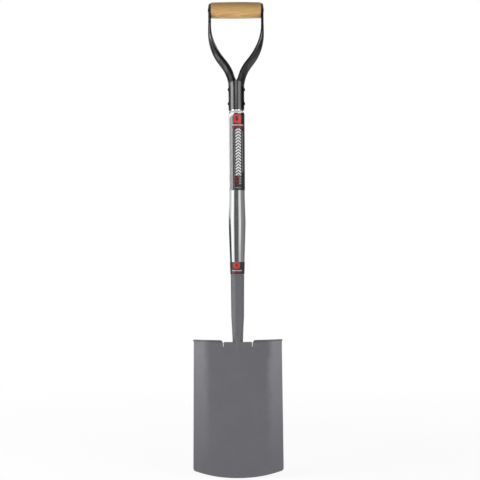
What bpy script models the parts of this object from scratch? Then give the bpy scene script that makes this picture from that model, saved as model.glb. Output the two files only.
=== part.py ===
"""Digging spade with a pressed, treaded blade, a welded tube neck, a swaged steel shaft and a Y handle.

Units are metres. +Z runs up the shaft and +Y points to the dished front of the blade. The origin is
the middle of the cutting edge, so the blade stands on z = 0 and the shaft's axis is the Z axis.
"""

from math import asin, ceil, cos, hypot, pi, radians, sin, sqrt, tan

import bmesh
import bpy
from mathutils import Matrix, Vector

MM = 0.001

# Fits
SEAT_GAP = 0.3 * MM
RIVET_HOLE_GAP = 0.3 * MM

# Blade
CUTTING_EDGE_WIDTH = 190 * MM
BLADE_TOP_WIDTH = 184 * MM
BLADE_HEIGHT = 287.6 * MM
CUTTING_EDGE_RADIUS = 298 * MM
BLADE_CORNER_RADIUS = 4 * MM
SHEET_THICKNESS = 2.5 * MM
CUTTING_EDGE_THICKNESS = 0.8 * MM
GRIND_HEIGHT = 12 * MM
BLADE_LEAN = radians(4)
FLAT_WIDTH = 60 * MM
DISH_DEPTH_TOP = 9 * MM
DISH_DEPTH_EDGE = 5 * MM

# Treads, and the relief slots that let them be turned
TREAD_INNER_DISTANCE = 30.6 * MM
TREAD_BEND_RADIUS = 5 * MM
TREAD_FLAT_DEPTH = 11 * MM
TREAD_LIFT = 2.8 * MM
TREAD_RISE = 0.9 * MM
TREAD_OVERHANG = 1.5 * MM
TREAD_CORNER_RADIUS = 6 * MM
TREAD_END_SLOPE = 3.25
RELIEF_WIDTH = 0.9 * MM
RELIEF_DEPTH = 8.5 * MM

# Tongue that is welded to the back of the neck, and the rib pressed below it
TONGUE_WIDTH = 9 * MM
TONGUE_HEIGHT = 16.5 * MM
RIB_HEIGHT = 1.2 * MM
RIB_LENGTH = 28 * MM

# Neck
NECK_EXPOSED = 139.9 * MM
NECK_TOP_RADIUS = 14.3 * MM
NECK_MIDDLE_RADIUS = 13.4 * MM
NECK_FOOT_RADIUS = 11 * MM
NECK_TAPER_HEIGHT = 52 * MM
NECK_WALL = 2.4 * MM
NECK_SPIGOT_LENGTH = 58 * MM
TAIL_LENGTH = 82 * MM
TAIL_WIDTH = 27 * MM
TAIL_TIP_WIDTH = 13 * MM
TAIL_TIP_THICKNESS = 3.4 * MM
WELD_SIZE = 3 * MM

# Shaft
SHAFT_EXPOSED = 344.9 * MM
SHAFT_RADIUS = 16.3 * MM
SHAFT_WALL = 1.5 * MM
SWELL_RADIUS = 17.7 * MM
SWELL_HEIGHT = 111 * MM
SWELL_LENGTH = 50 * MM
SWELL_SOFTNESS = 0.08
SHAFT_FOOT_RADIUS = 14.2 * MM
SHOULDER_LENGTH = 6 * MM
SHOULDER_GAP = 1.2 * MM
SHAFT_INSERT = 52 * MM

# Yoke
YOKE_RADIUS = 16.6 * MM
YOKE_WALL = 1.9 * MM
SOCKET_LENGTH = 45.5 * MM
LOWER_BEND_RADIUS = 71.7 * MM
UPPER_BEND_RADIUS = 104 * MM
ARM_ANGLE = radians(37.2)
ARM_STRAIGHT = 10.4 * MM
ARM_DEPTH = 16.2 * MM
ARM_UPRIGHT = 49.7 * MM
EYE_RADIUS = 14.8 * MM
EYE_DEPTH = 5.4 * MM
EYE_INSET = 0.5 * MM
EYE_SQUARENESS = 3.2
DEPTH_FADE_START = 30 * MM
DEPTH_FADE_LENGTH = 120 * MM
DEPTH_FADE_POWER = 1.6
THROAT_DEPTH = 2.3 * MM
THROAT_START = 10 * MM
THROAT_LENGTH = 8 * MM

# Rivets and pin
RIVET_SHANK_RADIUS = 2.4 * MM
RIVET_HEAD_RADIUS = 4.3 * MM
RIVET_HEAD_HEIGHT = 1.5 * MM
RIVET_MOUTH_DISTANCE = 13.6 * MM
RIVET_SPACING = 29.5 * MM
HEAD_RIVET_HEIGHT = 44 * MM
RIVET_FLARE_RADIUS = 3.5 * MM
RIVET_FLARE_HEIGHT = 1.5 * MM
PIN_RADIUS = 3 * MM
PIN_HEAD_RADIUS = 5.2 * MM
PIN_HEAD_HEIGHT = 0.6 * MM

# Grip
GRIP_RADIUS = 17.3 * MM
GRIP_END_RADIUS = 16.4 * MM
GRIP_EDGE_ROUNDING = 1 * MM

# Labels
LABEL_THICKNESS = 0.25 * MM
SHAFT_LABEL_TOP_DISTANCE = 7.4 * MM
SHAFT_LABEL_HEIGHT = 161 * MM
SHAFT_LABEL_START = radians(-100)
SHAFT_LABEL_END = radians(165)
SHAFT_LABEL_CORNER = 9 * MM
NECK_LABEL_BOTTOM_DISTANCE = 0.6 * MM
NECK_LABEL_HEIGHT = 25.9 * MM
NECK_LABEL_SEAM = radians(8)
NECK_LABEL_CORNER = 1.5 * MM

# Mesh density
ROUND_STEPS = 32
SMALL_ROUND_STEPS = 20
ARM_SECTION_STEPS = 10

# Heights that follow from the sizes above
SHAFT_BOTTOM = BLADE_HEIGHT + NECK_EXPOSED
YOKE_MOUTH = SHAFT_BOTTOM + SHAFT_EXPOSED
SHAFT_TOP = YOKE_MOUTH + SHAFT_INSERT
BEND_RISE = (LOWER_BEND_RADIUS + UPPER_BEND_RADIUS) * sin(ARM_ANGLE) + ARM_STRAIGHT * cos(ARM_ANGLE)
BEND_SPREAD = ((LOWER_BEND_RADIUS + UPPER_BEND_RADIUS) * (1 - cos(ARM_ANGLE))
               + ARM_STRAIGHT * sin(ARM_ANGLE))
ARM_TOP = YOKE_MOUTH + SOCKET_LENGTH + BEND_RISE
PIN_HEIGHT = ARM_TOP + ARM_UPRIGHT
EYE_OUTSIDE = YOKE_RADIUS + BEND_SPREAD - EYE_INSET
EYE_RIM = EYE_OUTSIDE - EYE_DEPTH
LOWER_RIVET_HEIGHT = YOKE_MOUTH + RIVET_MOUTH_DISTANCE
UPPER_RIVET_HEIGHT = LOWER_RIVET_HEIGHT + RIVET_SPACING
SHAFT_TOP_RADIUS = YOKE_RADIUS - YOKE_WALL - SEAT_GAP


def ease(fraction):
    """Smooth step from 0 to 1."""
    t = min(max(fraction, 0.0), 1.0)
    return t * t * (3 - 2 * t)


def spaced(start, end, count):
    """The points that cut start..end into count equal lengths, without the start."""
    return [start + (end - start) * i / count for i in range(1, count + 1)]


def painted(name, colour, roughness, metallic=0.0):
    """A Principled material with one colour."""
    material = bpy.data.materials.new(name)
    material.use_nodes = True
    shader = material.node_tree.nodes["Principled BSDF"]
    shader.inputs["Base Color"].default_value = (*colour, 1.0)
    shader.inputs["Roughness"].default_value = roughness
    shader.inputs["Metallic"].default_value = metallic
    material.diffuse_color = (*colour, 1.0)
    return material


def named_object(name, mesh, material):
    """Puts a finished mesh in the scene as one named, smooth-shaded object."""
    obj = bpy.data.objects.new(name, mesh)
    bpy.context.scene.collection.objects.link(obj)
    mesh.materials.append(material)
    mesh.shade_smooth()
    mesh.set_sharp_from_angle(angle=radians(35))
    return obj


def mesh_of(name, bm):
    """Turns a bmesh into a mesh whose faces all point out."""
    bmesh.ops.recalc_face_normals(bm, faces=bm.faces)
    mesh = bpy.data.meshes.new(name)
    bm.to_mesh(mesh)
    bm.free()
    return mesh


def turned_mesh(name, profile, steps):
    """Spins a closed outline of (radius, height) points round Z."""
    bm = bmesh.new()
    points = [bm.verts.new((radius, 0, height)) for radius, height in profile]
    edges = [bm.edges.new((a, b)) for a, b in zip(points, points[1:] + points[:1])]
    bmesh.ops.spin(bm, geom=points + edges, axis=(0, 0, 1), cent=(0, 0, 0), steps=steps, angle=2 * pi)
    bmesh.ops.remove_doubles(bm, verts=bm.verts, dist=0.001 * MM)
    on_axis = [e for e in bm.edges if all(hypot(v.co.x, v.co.y) < 0.001 * MM for v in e.verts)]
    bmesh.ops.delete(bm, geom=on_axis, context="EDGES")
    return mesh_of(name, bm)


def lofted_mesh(name, rings):
    """Skins a list of closed rings of points and closes the two ends."""
    bm = bmesh.new()
    loops = [[bm.verts.new(point) for point in ring] for ring in rings]
    for lower, upper in zip(loops, loops[1:]):
        for i in range(len(lower)):
            j = (i + 1) % len(lower)
            bm.faces.new((lower[i], lower[j], upper[j], upper[i]))
    bm.faces.new(loops[0])
    bm.faces.new(loops[-1])
    return mesh_of(name, bm)


def drill(obj, name, radius, length, matrix):
    """Cuts a round hole with a hidden cutter, whose middle and direction are the matrix's."""
    bm = bmesh.new()
    bmesh.ops.create_cone(bm, cap_ends=True, segments=SMALL_ROUND_STEPS, radius1=radius, radius2=radius,
                          depth=length, matrix=matrix)
    cutter = bpy.data.objects.new(name, mesh_of(name, bm))
    bpy.context.scene.collection.objects.link(cutter)
    cutter.hide_render = True
    cutter.display_type = "WIRE"
    hole = obj.modifiers.new(name, "BOOLEAN")
    hole.operation = "DIFFERENCE"
    hole.solver = "EXACT"
    hole.object = cutter


def along_x(height):
    """Turns a shape made round Z to lie round X at a height."""
    return Matrix.Translation((0, 0, height)) @ Matrix.Rotation(pi / 2, 4, "Y")


def along_y(height):
    """Turns a shape made round Z to point to +Y at a height."""
    return Matrix.Translation((0, 0, height)) @ Matrix.Rotation(-pi / 2, 4, "X")


# Blade

def blade_half_width(height):
    """Half the blade's width, which narrows evenly to the treads."""
    share = height / BLADE_HEIGHT
    return (CUTTING_EDGE_WIDTH + (BLADE_TOP_WIDTH - CUTTING_EDGE_WIDTH) * share) / 2


def blade_back(x, height):
    """Y of the blade's convex back: a leaning plane, wings that curve forward, and the rib."""
    beyond_flat = max(abs(x) - FLAT_WIDTH / 2, 0.0)
    wing = BLADE_TOP_WIDTH / 2 - FLAT_WIDTH / 2
    share = height / BLADE_HEIGHT
    depth = DISH_DEPTH_EDGE + (DISH_DEPTH_TOP - DISH_DEPTH_EDGE) * share
    across = max(1 - (x / (TONGUE_WIDTH * 0.6)) ** 2, 0.0)
    rib = RIB_HEIGHT * across * ease((height - BLADE_HEIGHT + RIB_LENGTH) / (RIB_LENGTH / 2))
    return -height * tan(BLADE_LEAN) + depth * (beyond_flat / wing) ** 2 - rib


def blade_front_plane(height):
    """Y of the flat middle of the blade's dished front."""
    return -height * tan(BLADE_LEAN) + SHEET_THICKNESS / cos(BLADE_LEAN)


def cutting_edge_height(x, half_width):
    """Height of the bottom outline: a long arc with small rounded corners."""
    arc = CUTTING_EDGE_RADIUS - sqrt(CUTTING_EDGE_RADIUS ** 2 - x ** 2)
    into_corner = max(abs(x) - half_width + BLADE_CORNER_RADIUS, 0.0)
    return arc + BLADE_CORNER_RADIUS - sqrt(BLADE_CORNER_RADIUS ** 2 - into_corner ** 2)


def bend_line_height(x):
    """Height where the tread's bend starts, which rises slightly outward."""
    share = (abs(x) - TREAD_INNER_DISTANCE) / (BLADE_TOP_WIDTH / 2 - TREAD_INNER_DISTANCE)
    return BLADE_HEIGHT + TREAD_LIFT - TREAD_BEND_RADIUS + TREAD_RISE * share


def tread_reach(x):
    """Length of sheet turned over at x: cut away at the inner end, rounded at the outer corner."""
    whole = TREAD_BEND_RADIUS * pi / 2 + TREAD_FLAT_DEPTH
    inner_cut = (abs(x) - TREAD_INNER_DISTANCE) * TREAD_END_SLOPE
    into_corner = max(abs(x) - BLADE_TOP_WIDTH / 2 + TREAD_CORNER_RADIUS, 0.0)
    corner_cut = TREAD_CORNER_RADIUS - sqrt(max(TREAD_CORNER_RADIUS ** 2 - into_corner ** 2, 0.0))
    return min(inner_cut, whole - corner_cut)


def tread_point(x, length):
    """A point on the tread's outer surface, a length of sheet past the bend line."""
    bend_length = TREAD_BEND_RADIUS * pi / 2
    angle = min(length, bend_length) / TREAD_BEND_RADIUS
    flat = max(length - bend_length, 0.0)
    widen = 1 + TREAD_OVERHANG / (BLADE_TOP_WIDTH / 2) * min(length / bend_length, 1.0)
    base = bend_line_height(x)
    forward = TREAD_BEND_RADIUS * (1 - cos(angle)) + flat
    return Vector((x * widen, blade_back(x, base) + forward, base + TREAD_BEND_RADIUS * sin(angle)))


def tongue_top(x):
    """Height of the tongue's arched outline above the blade's free edge."""
    half = TONGUE_WIDTH / 2
    return TONGUE_HEIGHT - half + sqrt(max(half ** 2 - x ** 2, 0.0))


def build_blade(material):
    """The sheet's back surface as a grid, thickened forward."""
    relief_inner = TREAD_INNER_DISTANCE - RELIEF_WIDTH
    side = BLADE_TOP_WIDTH / 2
    half = [TONGUE_WIDTH / 4, TONGUE_WIDTH / 2]
    half += spaced(half[-1], relief_inner, 4) + [TREAD_INNER_DISTANCE]
    half += spaced(half[-1], half[-1] + 9 * MM, 3)
    half += spaced(half[-1], side - TREAD_CORNER_RADIUS, 5)
    half += [side - TREAD_CORNER_RADIUS * (1 - sin(pi / 4)), side - BLADE_CORNER_RADIUS * 0.1, side]
    columns = [-x for x in reversed(half)] + half

    upper_start = BLADE_HEIGHT - RIB_LENGTH
    shares = [0, GRIND_HEIGHT / BLADE_HEIGHT / 2, GRIND_HEIGHT / BLADE_HEIGHT]
    shares += spaced(shares[-1], upper_start / BLADE_HEIGHT, 6)
    shares += spaced(shares[-1], 1 - RELIEF_DEPTH / BLADE_HEIGHT, 3)
    shares += spaced(shares[-1], 1, 2)
    edge_share = CUTTING_EDGE_THICKNESS / SHEET_THICKNESS
    walls = [edge_share, (1 + edge_share) / 2] + [1.0] * (len(shares) - 2)

    bm = bmesh.new()
    wall_layer = bm.verts.layers.deform.verify()
    made = {}

    def vertex(key, point, wall=1.0):
        if key not in made:
            made[key] = bm.verts.new(point)
            made[key][wall_layer][0] = wall
        return made[key]

    def sheet_vertex(column, row):
        x_top = columns[column]
        treaded = abs(x_top) > TREAD_INNER_DISTANCE - RELIEF_WIDTH / 2
        top = bend_line_height(x_top) if treaded else BLADE_HEIGHT
        x = x_top * blade_half_width(top * shares[row]) / side
        bottom = cutting_edge_height(x_top * CUTTING_EDGE_WIDTH / BLADE_TOP_WIDTH, CUTTING_EDGE_WIDTH / 2)
        height = bottom + (top - bottom) * shares[row]
        return vertex((column, row, 0), (x, blade_back(x, height), height), walls[row])

    def face(corners):
        distinct = list(dict.fromkeys(corners))
        if len(distinct) > 2:
            bm.faces.new(distinct)

    last = len(shares) - 1
    for column in range(len(columns) - 1):
        centre = (columns[column] + columns[column + 1]) / 2
        in_slot = relief_inner < abs(centre) < TREAD_INNER_DISTANCE
        for row in range(last):
            if in_slot and row >= last - 2:
                continue
            face([sheet_vertex(column, row), sheet_vertex(column + 1, row),
                  sheet_vertex(column + 1, row + 1), sheet_vertex(column, row + 1)])

    bend_length = TREAD_BEND_RADIUS * pi / 2
    lengths = [0] + spaced(0, bend_length, 5) + spaced(bend_length, bend_length + TREAD_FLAT_DEPTH, 2)

    def tread_vertex(column, step):
        x = columns[column]
        length = min(lengths[step], max(tread_reach(x), 0.0))
        if length <= 0:
            return sheet_vertex(column, last)
        return vertex((column, round(length * 1e7), 1), tread_point(x, length))

    for column in range(len(columns) - 1):
        if abs(columns[column] + columns[column + 1]) / 2 <= TREAD_INNER_DISTANCE:
            continue
        for step in range(len(lengths) - 1):
            face([tread_vertex(column, step), tread_vertex(column + 1, step),
                  tread_vertex(column + 1, step + 1), tread_vertex(column, step + 1)])

    rises = [0] + spaced(0, TONGUE_HEIGHT - TONGUE_WIDTH / 2, 2) + [TONGUE_HEIGHT]

    def tongue_vertex(column, step):
        x = columns[column]
        rise = min(rises[step], tongue_top(x))
        if rise <= 0:
            return sheet_vertex(column, last)
        height = BLADE_HEIGHT + rise
        return vertex((column, round(rise * 1e7), 2), (x, blade_back(x, height), height))

    for column in range(len(columns) - 1):
        if max(abs(columns[column]), abs(columns[column + 1])) > TONGUE_WIDTH / 2 + 0.01 * MM:
            continue
        for step in range(len(rises) - 1):
            face([tongue_vertex(column, step), tongue_vertex(column + 1, step),
                  tongue_vertex(column + 1, step + 1), tongue_vertex(column, step + 1)])

    bmesh.ops.recalc_face_normals(bm, faces=bm.faces)
    bm.faces.ensure_lookup_table()
    if bm.faces[0].normal.y > 0:
        bmesh.ops.reverse_faces(bm, faces=bm.faces)
    mesh = bpy.data.meshes.new("blade")
    bm.to_mesh(mesh)
    bm.free()
    blade = named_object("blade", mesh, material)
    blade.vertex_groups.new(name="wall")
    wall = blade.modifiers.new("sheet", "SOLIDIFY")
    wall.thickness = SHEET_THICKNESS
    wall.offset = -1
    wall.vertex_group = "wall"
    wall.thickness_vertex_group = 0
    wall.use_even_offset = True
    wall.use_quality_normals = True
    return blade


# Neck

def neck_radius(height):
    """Radius of the round part of the neck: a slow taper, then a quick one down to the foot."""
    knee = BLADE_HEIGHT + NECK_TAPER_HEIGHT
    if height >= knee:
        share = (height - knee) / (SHAFT_BOTTOM - knee)
        return NECK_MIDDLE_RADIUS + (NECK_TOP_RADIUS - NECK_MIDDLE_RADIUS) * share
    share = (height - BLADE_HEIGHT) / NECK_TAPER_HEIGHT
    return NECK_FOOT_RADIUS + (NECK_MIDDLE_RADIUS - NECK_FOOT_RADIUS) * share ** 1.15


def neck_back(height):
    """Y of the neck's back: it lies on the blade and its tongue, then swings in line with the shaft."""
    on_blade = blade_front_plane(height) + SEAT_GAP
    if height <= BLADE_HEIGHT:
        return on_blade
    start = BLADE_HEIGHT + TONGUE_HEIGHT
    share = ease((height - start) / (SHAFT_BOTTOM - 6 * MM - start))
    radius = neck_radius(height)
    return (on_blade + radius) * (1 - share) - radius


def tail_half_width(height):
    """Half the width of the flattened tail, down to its rounded tip."""
    down = (BLADE_HEIGHT - height) / TAIL_LENGTH
    widest = 0.3
    if down < widest:
        return NECK_FOOT_RADIUS + (TAIL_WIDTH / 2 - NECK_FOOT_RADIUS) * ease(down / widest)
    straight = TAIL_WIDTH / 2 + (TAIL_TIP_WIDTH - TAIL_WIDTH) / 2 * ease((down - widest) / (1 - widest))
    tip = TAIL_TIP_WIDTH / 2
    into_tip = max(tip - (height - BLADE_HEIGHT + TAIL_LENGTH), 0.0)
    return straight - tip + sqrt(max(tip ** 2 - into_tip ** 2, (tip * 0.2) ** 2))


def tail_thickness(height):
    """Depth of the neck from the blade to its front, from the round foot to the flat tip."""
    down = (BLADE_HEIGHT - height) / TAIL_LENGTH
    return TAIL_TIP_THICKNESS + (2 * NECK_FOOT_RADIUS - TAIL_TIP_THICKNESS) * (1 - ease(down * 1.05))


def neck_ring(height, half_width, back, front, side, squareness):
    """One section of the neck: a rounded back half over side, and an elliptical front half."""
    ring = []
    for i in range(ROUND_STEPS):
        angle = 2 * pi * (i + 0.5) / ROUND_STEPS
        c, s = cos(angle), sin(angle)
        if s < 0:
            power = 2 / squareness
            x = half_width * abs(c) ** power * (1 if c > 0 else -1)
            y = back + side - side * abs(s) ** power
        else:
            x = half_width * c
            y = back + side + (front - back - side) * s
        ring.append((x, y, height))
    return ring


def build_neck(material):
    """A tube with a spigot above, drawn in and flattened to a tail below."""
    rings = []
    tip = BLADE_HEIGHT - TAIL_LENGTH
    heights = [tip + TAIL_TIP_WIDTH / 2 * share for share in (0, 0.12, 0.4, 1)]
    heights += spaced(heights[-1], BLADE_HEIGHT, 7)
    for height in heights:
        thickness = tail_thickness(height)
        back = neck_back(height)
        flat = ease((BLADE_HEIGHT - height) / (TAIL_LENGTH * 0.3))
        side = NECK_FOOT_RADIUS + (TAIL_TIP_THICKNESS * 0.75 - NECK_FOOT_RADIUS) * flat
        rings.append(neck_ring(height, tail_half_width(height), back, back + thickness, side, 2 + 5 * flat))
    knee = BLADE_HEIGHT + NECK_TAPER_HEIGHT
    for height in spaced(BLADE_HEIGHT, knee, 4) + spaced(knee, SHAFT_BOTTOM - SEAT_GAP, 5):
        radius = neck_radius(height)
        back = neck_back(height)
        rings.append(neck_ring(height, radius, back, back + 2 * radius, radius, 2))

    def round_ring(height, radius):
        return neck_ring(height, radius, -radius, radius, radius, 2)

    spigot_top = SHAFT_BOTTOM + NECK_SPIGOT_LENGTH
    for height in [SHAFT_BOTTOM - SEAT_GAP] + spaced(SHAFT_BOTTOM, spigot_top, 3):
        rings.append(round_ring(height, shaft_radius(height) - SHAFT_WALL - SEAT_GAP))
    for height in reversed([SHAFT_BOTTOM - SEAT_GAP] + spaced(SHAFT_BOTTOM, spigot_top, 3)):
        rings.append(round_ring(height, shaft_radius(height) - SHAFT_WALL - SEAT_GAP - NECK_WALL))
    for height in reversed(spaced(knee, SHAFT_BOTTOM - SEAT_GAP, 5)[:-1]):
        radius = neck_radius(height)
        back = neck_back(height)
        rings.append(neck_ring(height, radius - NECK_WALL, back + NECK_WALL, back + 2 * radius - NECK_WALL,
                               radius - NECK_WALL, 2))
    neck = named_object("neck", lofted_mesh("neck", rings), material)
    drill(neck, "cut_spigot_rivet", RIVET_SHANK_RADIUS + RIVET_HOLE_GAP, SHAFT_RADIUS,
          along_y(SHAFT_BOTTOM + HEAD_RIVET_HEIGHT) @ Matrix.Translation((0, 0, SHAFT_RADIUS)))
    return neck


def build_neck_weld(material):
    """A bead that runs round the tail, in the corner between its edge and the blade."""
    tip = BLADE_HEIGHT - TAIL_LENGTH
    shoulder = tip + TAIL_TIP_WIDTH / 2
    right = [(tail_half_width(h), h) for h in reversed([shoulder] + spaced(shoulder, BLADE_HEIGHT - 1 * MM, 7))]
    turn = [(TAIL_TIP_WIDTH / 2 * cos(a), shoulder - TAIL_TIP_WIDTH / 2 * sin(a))
            for a in spaced(0, pi, 8)[:-1]]
    path = right + turn + [(-x, h) for x, h in reversed(right)]
    rings = []
    for i, (x, height) in enumerate(path):
        before = Vector(path[max(i - 1, 0)])
        after = Vector(path[min(i + 1, len(path) - 1)])
        along = (after - before).normalized()
        out = Vector((-along.y, along.x))
        ring = []
        for away, lift in ((0, 0), (1, 0), (0.75, 0.5), (0.5, 0.75), (0, 1)):
            place = Vector((x, height)) + out * (SEAT_GAP * 1.5 + WELD_SIZE * away)
            y = max(blade_front_plane(place.y), blade_back(place.x, place.y) + SHEET_THICKNESS)
            ring.append((place.x, y + SEAT_GAP + WELD_SIZE * lift * 0.85, place.y))
        rings.append(ring)
    return named_object("neck_weld", lofted_mesh("neck_weld", rings), material)


# Shaft

def shaft_radius(height):
    """Outer radius: a foot that widens to the swell, the straight upper tube, then the shoulder."""
    swell = SHAFT_BOTTOM + SWELL_HEIGHT
    shoulder_bottom = YOKE_MOUTH - SHOULDER_GAP - SHOULDER_LENGTH
    if height >= shoulder_bottom:
        share = ease((height - shoulder_bottom) / SHOULDER_LENGTH)
        return SHAFT_RADIUS + (SHAFT_TOP_RADIUS - SHAFT_RADIUS) * share
    length, end = (SWELL_LENGTH, SHAFT_RADIUS) if height > swell else (SWELL_HEIGHT, SHAFT_FOOT_RADIUS)
    share = min(abs(height - swell) / length, 1.0)
    fall = (hypot(share, SWELL_SOFTNESS) - SWELL_SOFTNESS) / (hypot(1, SWELL_SOFTNESS) - SWELL_SOFTNESS)
    return SWELL_RADIUS + (end - SWELL_RADIUS) * fall


def build_shaft(material):
    """A tube whose inside follows its outside."""
    swell = SHAFT_BOTTOM + SWELL_HEIGHT
    shoulder_bottom = YOKE_MOUTH - SHOULDER_GAP - SHOULDER_LENGTH
    heights = [SHAFT_BOTTOM] + spaced(SHAFT_BOTTOM, swell, 8) + spaced(swell, swell + SWELL_LENGTH, 5)
    heights += [shoulder_bottom] + spaced(shoulder_bottom, shoulder_bottom + SHOULDER_LENGTH, 3)
    heights += [SHAFT_TOP]
    outside = [(shaft_radius(height), height) for height in reversed(heights)]
    inside = [(shaft_radius(height) - SHAFT_WALL, height) for height in heights]
    shaft = named_object("shaft", turned_mesh("shaft", outside + inside, ROUND_STEPS), material)
    for name, height in (("cut_shaft_upper", UPPER_RIVET_HEIGHT), ("cut_shaft_lower", LOWER_RIVET_HEIGHT)):
        drill(shaft, name, RIVET_SHANK_RADIUS + RIVET_HOLE_GAP, 4 * SHAFT_RADIUS, along_x(height))
    drill(shaft, "cut_shaft_head", RIVET_SHANK_RADIUS + RIVET_HOLE_GAP, SHAFT_RADIUS,
          along_y(SHAFT_BOTTOM + HEAD_RIVET_HEIGHT) @ Matrix.Translation((0, 0, SHAFT_RADIUS)))
    return shaft


# Rivets and pin

def dome(radius, height, base, steps=3):
    """Profile points of a low round head, from its rim to its crown."""
    ball = (radius ** 2 + height ** 2) / (2 * height)
    widest = asin(radius / ball)
    return [(ball * sin(widest * (1 - i / steps)), base + height - ball + ball * cos(widest * (1 - i / steps)))
            for i in range(steps + 1)]


def rivet_profile(shank_radius, head_radius, head_height, half_length):
    """Outline of a rivet with a domed head at each end, from its bottom crown to its top one."""
    top = [(shank_radius, half_length), (head_radius, half_length)]
    top += dome(head_radius, head_height, half_length)[1:]
    return [(radius, -height) for radius, height in reversed(top)] + top


def build_through_rivet(name, height, material):
    """A rivet through the yoke's socket and the shaft."""
    profile = rivet_profile(RIVET_SHANK_RADIUS, RIVET_HEAD_RADIUS, RIVET_HEAD_HEIGHT, YOKE_RADIUS + SEAT_GAP)
    mesh = turned_mesh(name, profile, SMALL_ROUND_STEPS)
    mesh.transform(along_x(height))
    return named_object(name, mesh, material)


def build_head_rivet(material):
    """A rivet through the shaft's front wall and the neck's spigot, flared inside."""
    height = SHAFT_BOTTOM + HEAD_RIVET_HEIGHT
    outside = shaft_radius(height) + SEAT_GAP
    bore = shaft_radius(height) - SHAFT_WALL - SEAT_GAP - NECK_WALL
    inside = sqrt(bore ** 2 - RIVET_FLARE_RADIUS ** 2) - SEAT_GAP
    profile = [(0, inside - RIVET_FLARE_HEIGHT), (RIVET_SHANK_RADIUS, inside - RIVET_FLARE_HEIGHT)]
    profile += [(RIVET_FLARE_RADIUS, inside), (RIVET_SHANK_RADIUS, inside)]
    profile += [(RIVET_SHANK_RADIUS, outside), (RIVET_HEAD_RADIUS, outside)]
    profile += dome(RIVET_HEAD_RADIUS, RIVET_HEAD_HEIGHT, outside)[1:]
    mesh = turned_mesh("head_rivet", profile, SMALL_ROUND_STEPS)
    mesh.transform(along_y(height))
    return named_object("head_rivet", mesh, material)


def build_grip_pin(material):
    """The pin through both eyes and the grip's bore."""
    profile = rivet_profile(PIN_RADIUS, PIN_HEAD_RADIUS, PIN_HEAD_HEIGHT, EYE_OUTSIDE + SEAT_GAP)
    mesh = turned_mesh("grip_pin", profile, SMALL_ROUND_STEPS)
    mesh.transform(along_x(PIN_HEIGHT))
    return named_object("grip_pin", mesh, material)


# Yoke

def superellipse(share, squareness):
    """Height of a unit superellipse over share of its half-width."""
    return max(1 - abs(share) ** squareness, 0.0) ** (1 / squareness)


def arm_stations():
    """Stations up one arm: (outer crest x, height, lean, rise along the arm)."""
    flare = YOKE_MOUTH + SOCKET_LENGTH
    stations = [(YOKE_RADIUS, height, 0.0, 0.0) for height in [YOKE_MOUTH] + spaced(YOKE_MOUTH, flare, 2)]
    for lean in spaced(0, ARM_ANGLE, 8):
        x = YOKE_RADIUS + LOWER_BEND_RADIUS * (1 - cos(lean))
        stations.append((x, flare + LOWER_BEND_RADIUS * sin(lean), lean, LOWER_BEND_RADIUS * lean))
    x, height, lean, run = stations[-1]
    x += ARM_STRAIGHT * sin(ARM_ANGLE)
    height += ARM_STRAIGHT * cos(ARM_ANGLE)
    run += ARM_STRAIGHT
    stations.append((x, height, lean, run))
    centre_x = x - UPPER_BEND_RADIUS * cos(ARM_ANGLE)
    centre_height = height + UPPER_BEND_RADIUS * sin(ARM_ANGLE)
    for turn in spaced(ARM_ANGLE, 0, 9):
        stations.append((centre_x + UPPER_BEND_RADIUS * cos(turn), centre_height - UPPER_BEND_RADIUS * sin(turn),
                         turn, run + UPPER_BEND_RADIUS * (ARM_ANGLE - turn)))
    x, height, lean, run = stations[-1]
    for up in spaced(0, ARM_UPRIGHT, 4):
        inset = EYE_INSET * ease(up / (ARM_UPRIGHT * 0.66))
        stations.append((x - inset, height + up, 0.0, run + up))
    return stations


def arm_sections(wall):
    """Half sections of the arm's outer skin, or of its inner skin when wall is its thickness."""
    sections = []
    for crest, height, lean, run in arm_stations():
        outward = Vector((cos(lean), 0, -sin(lean)))
        fade = ease(max((run - DEPTH_FADE_START) / DEPTH_FADE_LENGTH, 0.0) ** DEPTH_FADE_POWER)
        throat = THROAT_DEPTH * (1 - ease((run - THROAT_START) / THROAT_LENGTH))
        depth = min(crest / cos(lean), ARM_DEPTH + throat + (EYE_DEPTH - ARM_DEPTH) * fade)
        half_width = YOKE_RADIUS + (EYE_RADIUS - YOKE_RADIUS) * fade
        squareness = 2 + (EYE_SQUARENESS - 2) * fade
        rim = Vector((crest, 0, height)) - outward * depth
        sections.append((rim, outward, depth - wall, half_width - wall, squareness))
    rim, outward = sections[-1][0], sections[-1][1]
    for turn in spaced(0, pi / 2, 6):
        up = (EYE_RADIUS - wall) * sin(turn)
        depth = (EYE_DEPTH - wall) * superellipse(sin(turn), EYE_SQUARENESS)
        half_width = (EYE_RADIUS - wall) * cos(turn)
        sections.append((rim + Vector((0, 0, up)), outward, depth, half_width, EYE_SQUARENESS))
    return sections


def section_points(section):
    """Points across one half section, from its -Y rim over the crest to its +Y rim."""
    rim, outward, depth, half_width, squareness = section
    points = []
    for i in range(ARM_SECTION_STEPS + 1):
        angle = -pi / 2 + pi * i / ARM_SECTION_STEPS
        s, c = sin(angle), max(cos(angle), 0.0)
        if abs(c) < 1e-9:
            c = 0.0
        away = depth * c ** (2 / squareness) if c else 0.0
        aside = half_width * abs(s) ** (2 / squareness) * (1 if s > 0 else -1)
        points.append(rim + outward * away + Vector((0, aside, 0)))
    return points


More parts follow.
